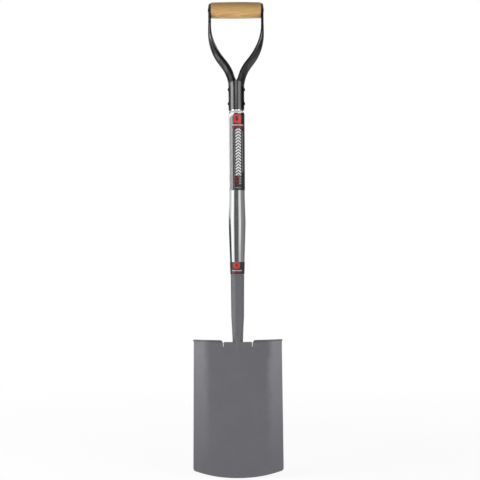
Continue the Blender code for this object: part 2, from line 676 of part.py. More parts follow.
def build_yoke(material):
    """A tube that is whole round the shaft, then split into two channelled arms with dished eyes."""
    bm = bmesh.new()
    made = {}

    def vertex(point, side):
        x = point.x * side
        key = (round(x * 1e7), round(point.y * 1e7), round(point.z * 1e7))
        if key not in made:
            made[key] = bm.verts.new((key[0] * 1e-7, point.y, point.z))
        return made[key]

    def face(corners):
        distinct = list(dict.fromkeys(corners))
        if len(distinct) > 2:
            bm.faces.new(distinct)

    outer = [section_points(section) for section in arm_sections(0.0)]
    inner = [section_points(section) for section in arm_sections(YOKE_WALL)]
    last = len(outer) - 1
    for side in (1, -1):
        for skin in (outer, inner):
            for low, high in zip(skin, skin[1:]):
                for i in range(ARM_SECTION_STEPS):
                    face([vertex(low[i], side), vertex(low[i + 1], side),
                          vertex(high[i + 1], side), vertex(high[i], side)])
        for i in range(ARM_SECTION_STEPS):
            face([vertex(outer[0][i], side), vertex(outer[0][i + 1], side),
                  vertex(inner[0][i + 1], side), vertex(inner[0][i], side)])
        for row in range(last):
            if max(abs(outer[row][0].x), abs(outer[row + 1][0].x)) < 0.001 * MM:
                continue
            for edge in (0, ARM_SECTION_STEPS):
                face([vertex(outer[row][edge], side), vertex(outer[row + 1][edge], side),
                      vertex(inner[row + 1][edge], side), vertex(inner[row][edge], side)])
    yoke = named_object("yoke", mesh_of("yoke", bm), material)
    for name, height in (("cut_yoke_upper", UPPER_RIVET_HEIGHT), ("cut_yoke_lower", LOWER_RIVET_HEIGHT)):
        drill(yoke, name, RIVET_SHANK_RADIUS + RIVET_HOLE_GAP, 4 * YOKE_RADIUS, along_x(height))
    drill(yoke, "cut_yoke_pin", PIN_RADIUS + RIVET_HOLE_GAP, 4 * EYE_OUTSIDE, along_x(PIN_HEIGHT))
    return yoke


# Grip

def build_grip(material):
    """A turned barrel with a bore, and a short boss at each end that fills the eye's cup."""
    end = EYE_RIM - SEAT_GAP
    boss_end = EYE_OUTSIDE - YOKE_WALL - SEAT_GAP
    cup_radius = EYE_RADIUS - YOKE_WALL
    cup_depth = EYE_DEPTH - YOKE_WALL
    bore = PIN_RADIUS + RIVET_HOLE_GAP
    half = [(bore, boss_end)]
    for share in (0.93, 0.8, 0.5):
        x = EYE_RIM + cup_depth * share
        if x < boss_end:
            half.append((cup_radius * superellipse(share, EYE_SQUARENESS) - 4 * SEAT_GAP, x))
    half.insert(1, (half[1][0] * 0.75, boss_end))
    half.append((half[-1][0], end))
    for turn in (0, 0.5, 1):
        half.append((GRIP_END_RADIUS - GRIP_EDGE_ROUNDING * (1 - sin(turn * pi / 2)),
                     end - GRIP_EDGE_ROUNDING * (1 - cos(turn * pi / 2))))
    for share in (0.75, 0.5, 0.25):
        half.append((GRIP_RADIUS + (GRIP_END_RADIUS - GRIP_RADIUS) * share ** 2, end * share))
    profile = half + [(GRIP_RADIUS, 0)] + [(radius, -x) for radius, x in reversed(half)]
    mesh = turned_mesh("grip", profile, ROUND_STEPS)
    mesh.transform(along_x(PIN_HEIGHT))
    return named_object("grip", mesh, material)


# Labels

def build_label(name, bottom, height, start, end, corner, material):
    """A thin film bent round the shaft, between two angles that are counted from -Y towards +X."""
    widest = SHAFT_RADIUS * (end - start)
    turn = [corner * (1 - cos(radians(angle))) for angle in (0, 30, 60, 90)]
    columns = turn + spaced(corner, widest - corner, ceil(ROUND_STEPS * (end - start) / (2 * pi)))
    columns += [widest - along for along in reversed(turn[:-1])]
    rows = 3
    bm = bmesh.new()
    grids = []
    for layer in (0, LABEL_THICKNESS):
        grid = []
        for along in columns:
            into_corner = max(corner - min(along, widest - along), 0.0)
            cut = corner - sqrt(corner ** 2 - into_corner ** 2)
            angle = start + (end - start) * along / widest
            column = []
            for row in range(rows + 1):
                z = bottom + cut + (height - 2 * cut) * row / rows
                radius = shaft_radius(z) + SEAT_GAP + layer
                column.append(bm.verts.new((radius * sin(angle), -radius * cos(angle), z)))
            grid.append(column)
        grids.append(grid)
    inside, outside = grids
    for grid in grids:
        for left, right in zip(grid, grid[1:]):
            for row in range(rows):
                bm.faces.new((left[row], right[row], right[row + 1], left[row + 1]))
    for column in (0, len(columns) - 1):
        for row in range(rows):
            bm.faces.new((inside[column][row], outside[column][row],
                          outside[column][row + 1], inside[column][row + 1]))
    for row in (0, rows):
        for column in range(len(columns) - 1):
            bm.faces.new((inside[column][row], outside[column][row],
                          outside[column + 1][row], inside[column + 1][row]))
    return named_object(name, mesh_of(name, bm), material)


def build_spade():
    """Builds every piece, from the blade up."""
    powder_coat = painted("grey_powder_coat", (0.155, 0.152, 0.165), 0.45)
    weld_coat = painted("grey_weld_coat", (0.15, 0.148, 0.16), 0.5)
    chrome = painted("chrome_plate", (0.7, 0.7, 0.71), 0.12, 1.0)
    rivet_steel = painted("zinc_rivet", (0.45, 0.45, 0.46), 0.35, 1.0)
    black_gloss = painted("black_gloss_enamel", (0.012, 0.012, 0.014), 0.2)
    black_rivet = painted("black_rivet_enamel", (0.014, 0.014, 0.016), 0.3)
    ash = painted("varnished_ash", (0.53, 0.34, 0.14), 0.4)
    film = painted("black_label_film", (0.02, 0.02, 0.022), 0.35)

    build_blade(powder_coat)
    build_neck(powder_coat)
    build_neck_weld(weld_coat)
    build_shaft(chrome)
    build_head_rivet(rivet_steel)
    build_yoke(black_gloss)
    build_through_rivet("yoke_rivet_upper", UPPER_RIVET_HEIGHT, black_rivet)
    build_through_rivet("yoke_rivet_lower", LOWER_RIVET_HEIGHT, black_rivet)
    build_grip(ash)
    build_grip_pin(black_rivet)
    label_top = YOKE_MOUTH - SHAFT_LABEL_TOP_DISTANCE
    build_label("shaft_label", label_top - SHAFT_LABEL_HEIGHT, SHAFT_LABEL_HEIGHT,
                SHAFT_LABEL_START, SHAFT_LABEL_END, SHAFT_LABEL_CORNER, film)
    build_label("neck_label", SHAFT_BOTTOM + NECK_LABEL_BOTTOM_DISTANCE, NECK_LABEL_HEIGHT,
                -pi + NECK_LABEL_SEAM, pi - NECK_LABEL_SEAM, NECK_LABEL_CORNER, film)


for startup_object in list(bpy.data.objects):
    bpy.data.objects.remove(startup_object, do_unlink=True)
build_spade()
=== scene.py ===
"""Digging spade: a pressed and coated blade, a welded neck, a chromed shaft and a black yoke with ash grip.

Lengths are metres in the CAD's frame: +Z runs up the shaft, +Y points to the dished front of the blade, and
the blade's cutting edge is at z = 0. Pieces follow in the order in which the spade is put together.
"""

from math import asin, atan2, cos, hypot, pi, radians, sin, sqrt, tan

import bmesh
import bpy
from mathutils import Matrix, Vector, noise


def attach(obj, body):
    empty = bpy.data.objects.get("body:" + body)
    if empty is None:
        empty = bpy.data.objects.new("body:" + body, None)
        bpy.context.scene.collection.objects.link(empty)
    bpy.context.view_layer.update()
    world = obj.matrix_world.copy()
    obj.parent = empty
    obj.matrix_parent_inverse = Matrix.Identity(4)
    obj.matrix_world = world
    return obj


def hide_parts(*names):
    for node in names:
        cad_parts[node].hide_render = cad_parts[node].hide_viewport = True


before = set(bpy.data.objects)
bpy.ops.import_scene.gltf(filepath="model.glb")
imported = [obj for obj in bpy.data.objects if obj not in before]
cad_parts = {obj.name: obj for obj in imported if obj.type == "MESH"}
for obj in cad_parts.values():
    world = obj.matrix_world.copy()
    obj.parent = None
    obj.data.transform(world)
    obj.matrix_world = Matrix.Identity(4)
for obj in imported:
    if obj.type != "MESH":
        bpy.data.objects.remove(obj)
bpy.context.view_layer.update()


# Blade
# Pressed from 2.5 mm carbon steel, dished, with foot treads turned forward and a tongue for the neck's weld.
# The sheet is shot blasted and coated in grey epoxy powder, so it is satin with a faint orange peel.

MM = 0.001
SEAM_REACH = 0.002 * MM
SHEET_THICKNESS = 2.5 * MM
CUTTING_EDGE_THINNESS = 0.32
CUTTING_EDGE_WIDTH = 190 * MM
CUTTING_EDGE_RADIUS = 298 * MM
BLADE_TOP_WIDTH = 184 * MM
BLADE_HEIGHT = 287.6 * MM
BLADE_CORNER_RADIUS = 4 * MM
BLADE_LEAN = radians(4)
GRIND_HEIGHT = 12 * MM
FLAT_WIDTH = 60 * MM
DISH_DEPTH_TOP = 9 * MM
DISH_DEPTH_EDGE = 5 * MM
TREAD_INNER_DISTANCE = 30.6 * MM
TREAD_BEND_RADIUS = 5 * MM
TREAD_FLAT_DEPTH = 11 * MM
TREAD_LIFT = 2.8 * MM
TREAD_RISE = 0.9 * MM
TREAD_OVERHANG = 1.5 * MM
TREAD_CORNER_RADIUS = 6 * MM
TREAD_END_SLOPE = 3.25
RELIEF_WIDTH = 0.9 * MM
RELIEF_DEPTH = 8.5 * MM
RELIEF_STEPS = 4
TONGUE_WIDTH = 9 * MM
TONGUE_HEIGHT = 16.5 * MM
RIB_HEIGHT = 1.2 * MM
RIB_LENGTH = 28 * MM
RIB_HALF_WIDTH = 5.4 * MM
PRESS_WAVE_HEIGHT = 0.22 * MM
PRESS_WAVE_LENGTH = 38 * MM
PRESS_WAVE_SQUEEZE = 0.6
SHEET_EDGE_ROUNDING = 0.35 * MM
# The painted highlight on the wings: where it starts from the middle, how soft its edge is, and how much
# paler it makes the top.
WING_HIGHLIGHT_START = 59 * MM
WING_HIGHLIGHT_SOFTNESS = 13 * MM
WING_PAINTED_HIGHLIGHT = 0.72


def linear(colour):
    """Turns an sRGB hex colour into the linear RGBA that a shader takes."""
    channels = [int(colour[i:i + 2], 16) / 255 for i in (1, 3, 5)]
    return (*(c / 12.92 if c <= 0.04045 else ((c + 0.055) / 1.055) ** 2.4 for c in channels), 1.0)


def connect(node, links):
    """Links sources to a node's sockets. A source is an output, or a node for its first output in use."""
    for key, source in links.items():
        if isinstance(source, bpy.types.Node):
            source = next(output for output in source.outputs if output.enabled)
        node.id_data.links.new(source, node.inputs[key])


def add_node(tree, kind, settings=None, links=None):
    """Adds a shader node. Settings are its properties or sockets' values, and links its sockets' sources."""
    node = tree.nodes.new("ShaderNode" + kind)
    for key, value in (settings or {}).items():
        if isinstance(key, int) or key in node.inputs:
            node.inputs[key].default_value = value
        else:
            setattr(node, key, value)
    connect(node, links or {})
    return node


def new_material(name, **sockets):
    """A material with one Principled shader, whose uniform values are given by socket name.

    Its node tree, its shader and the place on the object, in metres, come with it.
    """
    material = bpy.data.materials.new(name)
    material.use_nodes = True
    tree = material.node_tree
    shader = tree.nodes["Principled BSDF"]
    for key, value in sockets.items():
        shader.inputs[key.replace("_", " ")].default_value = value
    return material, tree, shader, add_node(tree, "TexCoord").outputs["Object"]


def ease(fraction):
    """Smooth step from 0 to 1."""
    t = min(max(fraction, 0.0), 1.0)
    return t * t * (3 - 2 * t)


def between(start, end, share):
    """The value a share of the way from start to end."""
    return start + (end - start) * share


def spaced(start, end, count):
    """The points that cut start..end into count equal lengths, without the start."""
    return [start + (end - start) * i / count for i in range(1, count + 1)]


def add_grid(bm, rows, closed=False, keep=lambda row, column: True):
    """Skins rows of points with four-sided faces. A closed row runs round to its first point."""
    grid = [[bm.verts.new(point) for point in row] for row in rows]
    for r, (low, high) in enumerate(zip(grid, grid[1:])):
        for c in range(len(low) if closed else len(low) - 1):
            after = (c + 1) % len(low)
            if keep(r, c):
                bm.faces.new((low[c], low[after], high[after], high[c]))
    return grid


def mesh_object(name, bm, material):
    """Puts a bmesh in the scene."""
    mesh = bpy.data.meshes.new(name)
    bm.to_mesh(mesh)
    bm.free()
    mesh.materials.append(material)
    obj = bpy.data.objects.new(name, mesh)
    bpy.context.scene.collection.objects.link(obj)
    return obj


def add_piece(name, bm, material, replaced, smooth_angle=35):
    """Joins a bmesh's seams, faces it outward and lets it stand for one CAD node."""
    bmesh.ops.remove_doubles(bm, verts=bm.verts, dist=SEAM_REACH)
    bmesh.ops.recalc_face_normals(bm, faces=bm.faces)
    piece = mesh_object(name, bm, material)
    piece.data.shade_smooth()
    piece.data.set_sharp_from_angle(angle=radians(smooth_angle))
    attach(piece, "root")
    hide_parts(replaced)
    return piece


def round_edges(piece, width, angle):
    """Rounds the edges that are sharper than an angle, as rolling, coating or sanding leaves them."""
    bevel = piece.modifiers.new("rounded_edges", "BEVEL")
    bevel.width = width
    bevel.segments = 2
    bevel.limit_method = "ANGLE"
    bevel.angle_limit = radians(angle)
    bevel.harden_normals = True


def blade_back(x, height):
    """Y of the blade's convex back: a leaning plane, wings curved forward, and the rib below the tongue."""
    wing = (BLADE_TOP_WIDTH - FLAT_WIDTH) / 2
    beyond_flat = max(abs(x) - FLAT_WIDTH / 2, 0.0)
    depth = between(DISH_DEPTH_EDGE, DISH_DEPTH_TOP, height / BLADE_HEIGHT)
    across = max(1 - (x / RIB_HALF_WIDTH) ** 2, 0.0)
    rib = RIB_HEIGHT * across * ease((height - BLADE_HEIGHT + RIB_LENGTH) / (RIB_LENGTH / 2))
    return -height * tan(BLADE_LEAN) + depth * (beyond_flat / wing) ** 2 - rib


def press_wave(x, height):
    """How far the press left the sheet off its true curve: not at all at the seats of other pieces."""
    away_from_neck = ease((abs(x) - FLAT_WIDTH / 2) / (FLAT_WIDTH / 2))
    away_from_top = ease((BLADE_HEIGHT - height) / (FLAT_WIDTH / 2))
    place = Vector((x, 0, height * PRESS_WAVE_SQUEEZE)) / PRESS_WAVE_LENGTH
    return PRESS_WAVE_HEIGHT * away_from_neck * away_from_top * noise.noise(place)


def blade_front_plane(height):
    """Y of the flat middle of the blade's dished front."""
    return -height * tan(BLADE_LEAN) + SHEET_THICKNESS / cos(BLADE_LEAN)


def cutting_edge_height(x):
    """Height of the bottom outline: a long arc with small rounded corners."""
    arc = CUTTING_EDGE_RADIUS - sqrt(CUTTING_EDGE_RADIUS ** 2 - x ** 2)
    into_corner = max(abs(x) - CUTTING_EDGE_WIDTH / 2 + BLADE_CORNER_RADIUS, 0.0)
    return arc + BLADE_CORNER_RADIUS - sqrt(BLADE_CORNER_RADIUS ** 2 - into_corner ** 2)


def bend_line_height(x):
    """Height where the tread's bend starts, which rises slightly outward."""
    share = (abs(x) - TREAD_INNER_DISTANCE) / (BLADE_TOP_WIDTH / 2 - TREAD_INNER_DISTANCE)
    return BLADE_HEIGHT + TREAD_LIFT - TREAD_BEND_RADIUS + TREAD_RISE * share


def tread_reach(x):
    """Length of sheet turned over at x: cut away at the inner end, rounded at the outer corner."""
    whole = TREAD_BEND_RADIUS * pi / 2 + TREAD_FLAT_DEPTH
    into_corner = max(abs(x) - BLADE_TOP_WIDTH / 2 + TREAD_CORNER_RADIUS, 0.0)
    corner_cut = TREAD_CORNER_RADIUS - sqrt(max(TREAD_CORNER_RADIUS ** 2 - into_corner ** 2, 0.0))
    return max(min((abs(x) - TREAD_INNER_DISTANCE) * TREAD_END_SLOPE, whole - corner_cut), 0.0)


def tread_point(x, length):
    """A point on the tread's outer surface, a length of sheet past the bend line."""
    bend_length = TREAD_BEND_RADIUS * pi / 2
    angle = min(length, bend_length) / TREAD_BEND_RADIUS
    widen = 1 + TREAD_OVERHANG / (BLADE_TOP_WIDTH / 2) * min(length / bend_length, 1.0)
    base = bend_line_height(x)
    forward = TREAD_BEND_RADIUS * (1 - cos(angle)) + max(length - bend_length, 0.0)
    return (x * widen, blade_back(x, base) + forward, base + TREAD_BEND_RADIUS * sin(angle))


side = BLADE_TOP_WIDTH / 2
relief_inner = TREAD_INNER_DISTANCE - RELIEF_WIDTH
half_columns = spaced(0, TONGUE_WIDTH / 2, 6) + spaced(TONGUE_WIDTH / 2, relief_inner, 12)
half_columns += [TREAD_INNER_DISTANCE] + spaced(TREAD_INNER_DISTANCE, side - TREAD_CORNER_RADIUS, 26)
half_columns += [side - TREAD_CORNER_RADIUS * (1 - sin(turn)) for turn in spaced(0, pi / 2, 6)]
columns = [-x for x in reversed(half_columns)] + [0.0] + half_columns
shares = [0.0] + spaced(0, GRIND_HEIGHT / BLADE_HEIGHT, 4)
shares += spaced(shares[-1], 1 - RIB_LENGTH / BLADE_HEIGHT, 44)
shares += spaced(shares[-1], 1 - RELIEF_DEPTH / BLADE_HEIGHT, 6)
shares += spaced(shares[-1], 1, RELIEF_STEPS)


def sheet_point(x_top, share):
    """A point of the sheet's back, a share of the way up a column. The blade narrows evenly to the treads."""
    on_tread = abs(x_top) > TREAD_INNER_DISTANCE - RELIEF_WIDTH / 2
    top = bend_line_height(x_top) if on_tread else BLADE_HEIGHT
    x = x_top / BLADE_TOP_WIDTH * between(CUTTING_EDGE_WIDTH, BLADE_TOP_WIDTH, top * share / BLADE_HEIGHT)
    bottom = cutting_edge_height(x_top * CUTTING_EDGE_WIDTH / BLADE_TOP_WIDTH)
    height = between(bottom, top, share)
    return (x, blade_back(x, height) + press_wave(x, height), height)


def in_sheet(row, column):
    """False where a relief slot parts the free edge from the tread."""
    middle = abs(columns[column] + columns[column + 1]) / 2
    return row < len(shares) - 1 - RELIEF_STEPS or not relief_inner < middle < TREAD_INNER_DISTANCE


bm = bmesh.new()
add_grid(bm, [[sheet_point(x, share) for x in columns] for share in shares], keep=in_sheet)
for sign in (-1, 1):
    turned = [sign * x for x in half_columns if x > TREAD_INNER_DISTANCE - RELIEF_WIDTH / 2]
    add_grid(bm, [[tread_point(x, tread_reach(x) * share) for x in turned]
                  for share in [0.0] + spaced(0, 1, 14)])
tongue = [x for x in columns if abs(x) < TONGUE_WIDTH / 2 + SEAM_REACH]
tongue_rows = []
for share in [0.0] + spaced(0, 1, 8):
    row = []
    for x in tongue:
        top = TONGUE_HEIGHT - TONGUE_WIDTH / 2 + sqrt(max((TONGUE_WIDTH / 2) ** 2 - x ** 2, 0.0))
        height = BLADE_HEIGHT + top * share
        row.append((x, blade_back(x, height), height))
    tongue_rows.append(row)
add_grid(bm, tongue_rows)
wall_layer = bm.verts.layers.deform.verify()
for vertex in bm.verts:
    up_the_grind = (vertex.co.z - cutting_edge_height(vertex.co.x)) / GRIND_HEIGHT
    vertex[wall_layer][0] = between(CUTTING_EDGE_THINNESS, 1, min(max(up_the_grind, 0.0), 1.0))

powder_coat, tree, shader, place = new_material("grey_epoxy_powder_coat_on_blasted_steel", IOR=1.5)
# The coat is laid by hand, so its tone drifts over some 60 mm between a bluish and a warmer grey.
drift = add_node(tree, "TexNoise", {"Scale": 16, "Detail": 3, "Roughness": 0.45}, {"Vector": place})
tone = add_node(tree, "ValToRGB", links={"Fac": drift})
for stop, position, grey in zip(tone.color_ramp.elements, (0.3, 0.7), ("#636369", "#68686C")):
    stop.position = position
    stop.color = linear(grey)
# The wings carry a painted highlight: the coat's colour is made paler there, most of all towards the top
# below the treads, with a ragged edge that wanders every 36 mm.
place_parts = add_node(tree, "SeparateXYZ", links={0: place})
from_middle = add_node(tree, "Math", {"operation": "ABSOLUTE"}, {0: place_parts.outputs["X"]})
ragged = add_node(tree, "TexNoise", {"Scale": 28}, {"Vector": place})
ragged_edge = add_node(tree, "MapRange", {"To Min": -9 * MM, "To Max": 9 * MM}, {"Value": ragged})
outward = add_node(tree, "Math", {"operation": "ADD"}, {0: from_middle, 1: ragged_edge})
on_wing_highlight = add_node(
    tree, "MapRange", {"From Min": WING_HIGHLIGHT_START, "From Max": WING_HIGHLIGHT_START + WING_HIGHLIGHT_SOFTNESS},
    {"Value": outward})
highlight_towards_top = add_node(
    tree, "MapRange",
    {"From Min": 20 * MM, "From Max": BLADE_HEIGHT, "To Max": WING_PAINTED_HIGHLIGHT},
    {"Value": place_parts.outputs["Z"]})
painted_highlight_gain = add_node(tree, "Math", {"operation": "MULTIPLY_ADD", 2: 1}, {0: on_wing_highlight, 1: highlight_towards_top})
# Grains of powder that melted a little apart give fine specks, drawn 1 mm wide so that they show.
speck = add_node(tree, "TexNoise", {"Scale": 900}, {"Vector": place})
speck_tone = add_node(
    tree, "MapRange", {"From Min": 0.35, "From Max": 0.65, "To Min": 0.9, "To Max": 1.1},
    {"Value": speck})
highlight_and_speck = add_node(tree, "Math", {"operation": "MULTIPLY"}, {0: speck_tone, 1: painted_highlight_gain})
# The coat's colour carries the specks and the painted highlight on the wings.
coat_colour_and_highlight = add_node(tree, "VectorMath", {"operation": "SCALE"}, {0: tone, "Scale": highlight_and_speck})
# Long faint rubs from handling and stacking, 0.5 mm wide, are a little glossier than the coat.
rub_place = add_node(
    tree, "Mapping", {"Rotation": (0, 0.5, 0), "Scale": (2000, 2000, 30)}, {"Vector": place})
rub = add_node(tree, "TexNoise", {"Scale": 1, "Detail": 1}, {"Vector": rub_place})
sheen = add_node(
    tree, "MapRange", {"From Min": 0.55, "From Max": 0.8, "To Min": 0.42, "To Max": 0.34},
    {"Value": rub})
# The orange peel of the baked powder has dimples 1.6 mm wide.
peel = add_node(tree, "TexNoise", {"Scale": 620, "Detail": 1}, {"Vector": place})
peel_bump = add_node(tree, "Bump", {"Strength": 0.35, "Distance": 0.05 * MM}, {"Height": peel})
connect(shader, {"Base Color": coat_colour_and_highlight, "Roughness": sheen, "Normal": peel_bump})

blade = add_piece("blade_sheet", bm, powder_coat, "blade")
blade.vertex_groups.new(name="wall")
wall = blade.modifiers.new("sheet", "SOLIDIFY")
wall.thickness = SHEET_THICKNESS
wall.offset = -1
wall.vertex_group = "wall"
wall.use_even_offset = True
wall.use_quality_normals = True
round_edges(blade, SHEET_EDGE_ROUNDING, 50)


# Neck
# Drawn steel tube, cranked so that the shaft stands in line with the cutting edge. Its top is a spigot inside
# the shaft, and its foot is forged flat against the blade. It is coated together with the blade.

NECK_EXPOSED = 139.9 * MM
NECK_TOP_RADIUS = 14.3 * MM
NECK_MIDDLE_RADIUS = 13.4 * MM
NECK_FOOT_RADIUS = 11 * MM
NECK_TAPER_HEIGHT = 52 * MM
NECK_TAPER_POWER = 1.15
NECK_STRAIGHT_END = 6 * MM
NECK_WALL = 2.4 * MM
NECK_SHOULDER_ROUNDING = 0.8 * MM
SPIGOT_LENGTH = 58 * MM
TAIL_LENGTH = 82 * MM
TAIL_WIDTH = 27 * MM
TAIL_TIP_WIDTH = 13 * MM
TAIL_TIP_THICKNESS = 3.4 * MM
TAIL_SIDE_DEPTH = 2.55 * MM
TAIL_WIDEST_SHARE = 0.3
TAIL_THINNING = 1.05
TAIL_SQUARENESS = 7
SEAT_GAP = 0.3 * MM
ROUND_STEPS = 72
SHAFT_BOTTOM = BLADE_HEIGHT + NECK_EXPOSED
SHAFT_FOOT_RADIUS = 14.2 * MM
SHAFT_WALL = 1.5 * MM
KNEE = BLADE_HEIGHT + NECK_TAPER_HEIGHT


def neck_radius(height):
    """Radius of the round part of the neck: a slow taper, then a quick one down to the foot."""
    if height >= KNEE:
        return between(NECK_MIDDLE_RADIUS, NECK_TOP_RADIUS, (height - KNEE) / (SHAFT_BOTTOM - KNEE))
    share = max(height - BLADE_HEIGHT, 0.0) / NECK_TAPER_HEIGHT
    return between(NECK_FOOT_RADIUS, NECK_MIDDLE_RADIUS, share ** NECK_TAPER_POWER)


def neck_back(height):
    """Y of the neck's back: it lies on the blade and its tongue, then swings in line with the shaft."""
    on_blade = blade_front_plane(height) + SEAT_GAP
    if height <= BLADE_HEIGHT:
        return on_blade
    start = BLADE_HEIGHT + TONGUE_HEIGHT
    share = ease((height - start) / (SHAFT_BOTTOM - NECK_STRAIGHT_END - start))
    return (on_blade + neck_radius(height)) * (1 - share) - neck_radius(height)


def tail_half_width(height):
    """Half the width of the flattened tail, down to its rounded tip."""
    down = (BLADE_HEIGHT - height) / TAIL_LENGTH
    if down < TAIL_WIDEST_SHARE:
        return between(NECK_FOOT_RADIUS, TAIL_WIDTH / 2, ease(down / TAIL_WIDEST_SHARE))
    tip = TAIL_TIP_WIDTH / 2
    straight = between(TAIL_WIDTH / 2, tip, ease((down - TAIL_WIDEST_SHARE) / (1 - TAIL_WIDEST_SHARE)))
    into_tip = max(tip - (height - BLADE_HEIGHT + TAIL_LENGTH), 0.0)
    return straight - tip + sqrt(max(tip ** 2 - into_tip ** 2, 0.0))


def neck_ring(height, half_width, back, front, side_depth, squareness):
    """One section of the neck: a back half that can be squared, and an elliptical front half."""
    ring = []
    for i in range(ROUND_STEPS):
        angle = 2 * pi * (i + 0.5) / ROUND_STEPS
        c, s = cos(angle), sin(angle)
        if s < 0:
            power = 2 / squareness
            x = half_width * abs(c) ** power * (1 if c > 0 else -1)
            y = back + side_depth - side_depth * abs(s) ** power
        else:
            x = half_width * c
            y = back + side_depth + (front - back - side_depth) * s
        ring.append((x, y, height))
    return ring


def capped_tube(rings):
    """A bmesh skinned over closed rings of points, with a face across each end."""
    bm = bmesh.new()
    grid = add_grid(bm, rings, closed=True)
    bm.faces.new(grid[0])
    bm.faces.new(grid[-1])
    return bm


rings = []
tip = BLADE_HEIGHT - TAIL_LENGTH
tip_heights = [tip + TAIL_TIP_WIDTH / 2 * (1 - cos(turn)) for turn in spaced(0, pi / 2, 8)]
for height in tip_heights + spaced(tip_heights[-1], BLADE_HEIGHT, 24):
    down = (BLADE_HEIGHT - height) / TAIL_LENGTH
    thickness = between(TAIL_TIP_THICKNESS, 2 * NECK_FOOT_RADIUS, 1 - ease(down * TAIL_THINNING))
    flat = ease(down / TAIL_WIDEST_SHARE)
    back = neck_back(height)
    side_depth = between(NECK_FOOT_RADIUS, TAIL_SIDE_DEPTH, flat)
    squareness = between(2, TAIL_SQUARENESS, flat)
    rings.append(neck_ring(height, tail_half_width(height), back, back + thickness, side_depth, squareness))
neck_top = SHAFT_BOTTOM - SEAT_GAP
for height in spaced(BLADE_HEIGHT, KNEE, 14) + spaced(KNEE, neck_top - NECK_SHOULDER_ROUNDING, 20):
    radius, back = neck_radius(height), neck_back(height)
    rings.append(neck_ring(height, radius, back, back + 2 * radius, radius, 2))
for turn in spaced(0, pi / 2, 3):
    radius = neck_radius(neck_top) - NECK_SHOULDER_ROUNDING * (1 - cos(turn))
    height = neck_top - NECK_SHOULDER_ROUNDING * (1 - sin(turn))
    rings.append(neck_ring(height, radius, -radius, radius, radius, 2))
spigot_radius = SHAFT_FOOT_RADIUS - SHAFT_WALL - SEAT_GAP
spigot_top = SHAFT_BOTTOM + SPIGOT_LENGTH
for radius, height in ((spigot_radius, neck_top), (spigot_radius, spigot_top),
                       (spigot_radius - NECK_WALL, spigot_top), (spigot_radius - NECK_WALL, neck_top)):
    rings.append(neck_ring(height, radius, -radius, radius, radius, 2))
add_piece("neck_tube", capped_tube(rings), powder_coat, "neck")


# Weld bead
# MIG fillet that runs round the neck's flat tail on the front of the blade. The torch laid it in overlapping
# ripples, and the powder coat over it looks a touch rougher and darker.

WELD_SIZE = 3 * MM
WELD_RIPPLE = 2.4 * MM
WELD_RIPPLE_SHARE = 0.09
WELD_START_STEPS = 4
WELD_START_SHARE = 0.55
WELD_FULLNESS = 0.8
WELD_RISE_SHARE = 0.85
WELD_SIDE_GAP = 1.5 * SEAT_GAP
WELD_TOP_GAP = 1 * MM
WELD_ARC = pi / 2 - 0.001

shoulder = tip + TAIL_TIP_WIDTH / 2
side_heights = [shoulder] + spaced(shoulder, BLADE_HEIGHT - WELD_TOP_GAP, 110)
right = [(tail_half_width(height), height) for height in reversed(side_heights)]
round_tip = [(TAIL_TIP_WIDTH / 2 * cos(turn), shoulder - TAIL_TIP_WIDTH / 2 * sin(turn))
             for turn in spaced(0, pi, 30)[:-1]]
path = [Vector(point) for point in right + round_tip + [(-x, height) for x, height in reversed(right)]]
section = [(0.0, 0.0)] + [(cos(turn) ** WELD_FULLNESS, sin(turn) ** WELD_FULLNESS * WELD_RISE_SHARE)
                          for turn in [0.0] + spaced(0, WELD_ARC, 8)]
rings = []
travelled = 0.0
for i, point in enumerate(path):
    before, after = path[max(i - 1, 0)], path[min(i + 1, len(path) - 1)]
    travelled += (point - path[i - 1]).length if i else 0.0
    along = (after - before).normalized()
    out = Vector((-along.y, along.x))
    from_end = min(i, len(path) - 1 - i) / WELD_START_STEPS
    ripple = 1 - WELD_RIPPLE_SHARE * abs(sin(pi * travelled / WELD_RIPPLE))
    size = WELD_SIZE * ripple * between(WELD_START_SHARE, 1, ease(from_end))
    ring = []
    for away, lift in section:
        x, height = point + out * (WELD_SIDE_GAP + size * away)
        y = max(blade_front_plane(height), blade_back(x, height) + SHEET_THICKNESS)
        ring.append((x, y + SEAT_GAP + size * lift, height))
    rings.append(ring)

weld_coat, tree, shader, place = new_material("powder_coat_over_weld_bead", Roughness=0.5, IOR=1.5)
# Spatter and scale under the coat are grains about 1.4 mm wide.
spatter = add_node(tree, "TexNoise", {"Scale": 700, "Detail": 3}, {"Vector": place})
tone = add_node(
    tree, "Mix", {"data_type": "RGBA", "A": linear("#5A5A5E"), "B": linear("#6C6C70")},
    {"Factor": spatter})
bump = add_node(tree, "Bump", {"Strength": 0.6, "Distance": 0.12 * MM}, {"Height": spatter})
connect(shader, {"Base Color": tone, "Normal": bump})
add_piece("weld_bead", capped_tube(rings), weld_coat, "neck_weld", smooth_angle=60)


# Shaft
# Steel tube, swaged down at both ends and swelled below the middle where the lower hand holds it. It is
# polished and chrome plated, so it mirrors the room in long upright bands.

SHAFT_EXPOSED = 344.9 * MM
SHAFT_RADIUS = 16.3 * MM
SWELL_RADIUS = 17.7 * MM
SWELL_HEIGHT = 111 * MM
SWELL_LENGTH = 50 * MM
SWELL_SOFTNESS = 0.08
SHOULDER_LENGTH = 6 * MM
SHOULDER_GAP = 1.2 * MM
SHAFT_INSERT = 52 * MM
SHAFT_TOP_RADIUS = 14.4 * MM
SHAFT_END_ROUNDING = 0.5 * MM
YOKE_MOUTH = SHAFT_BOTTOM + SHAFT_EXPOSED
SHAFT_TOP = YOKE_MOUTH + SHAFT_INSERT
SWELL = SHAFT_BOTTOM + SWELL_HEIGHT
SHOULDER_BOTTOM = YOKE_MOUTH - SHOULDER_GAP - SHOULDER_LENGTH


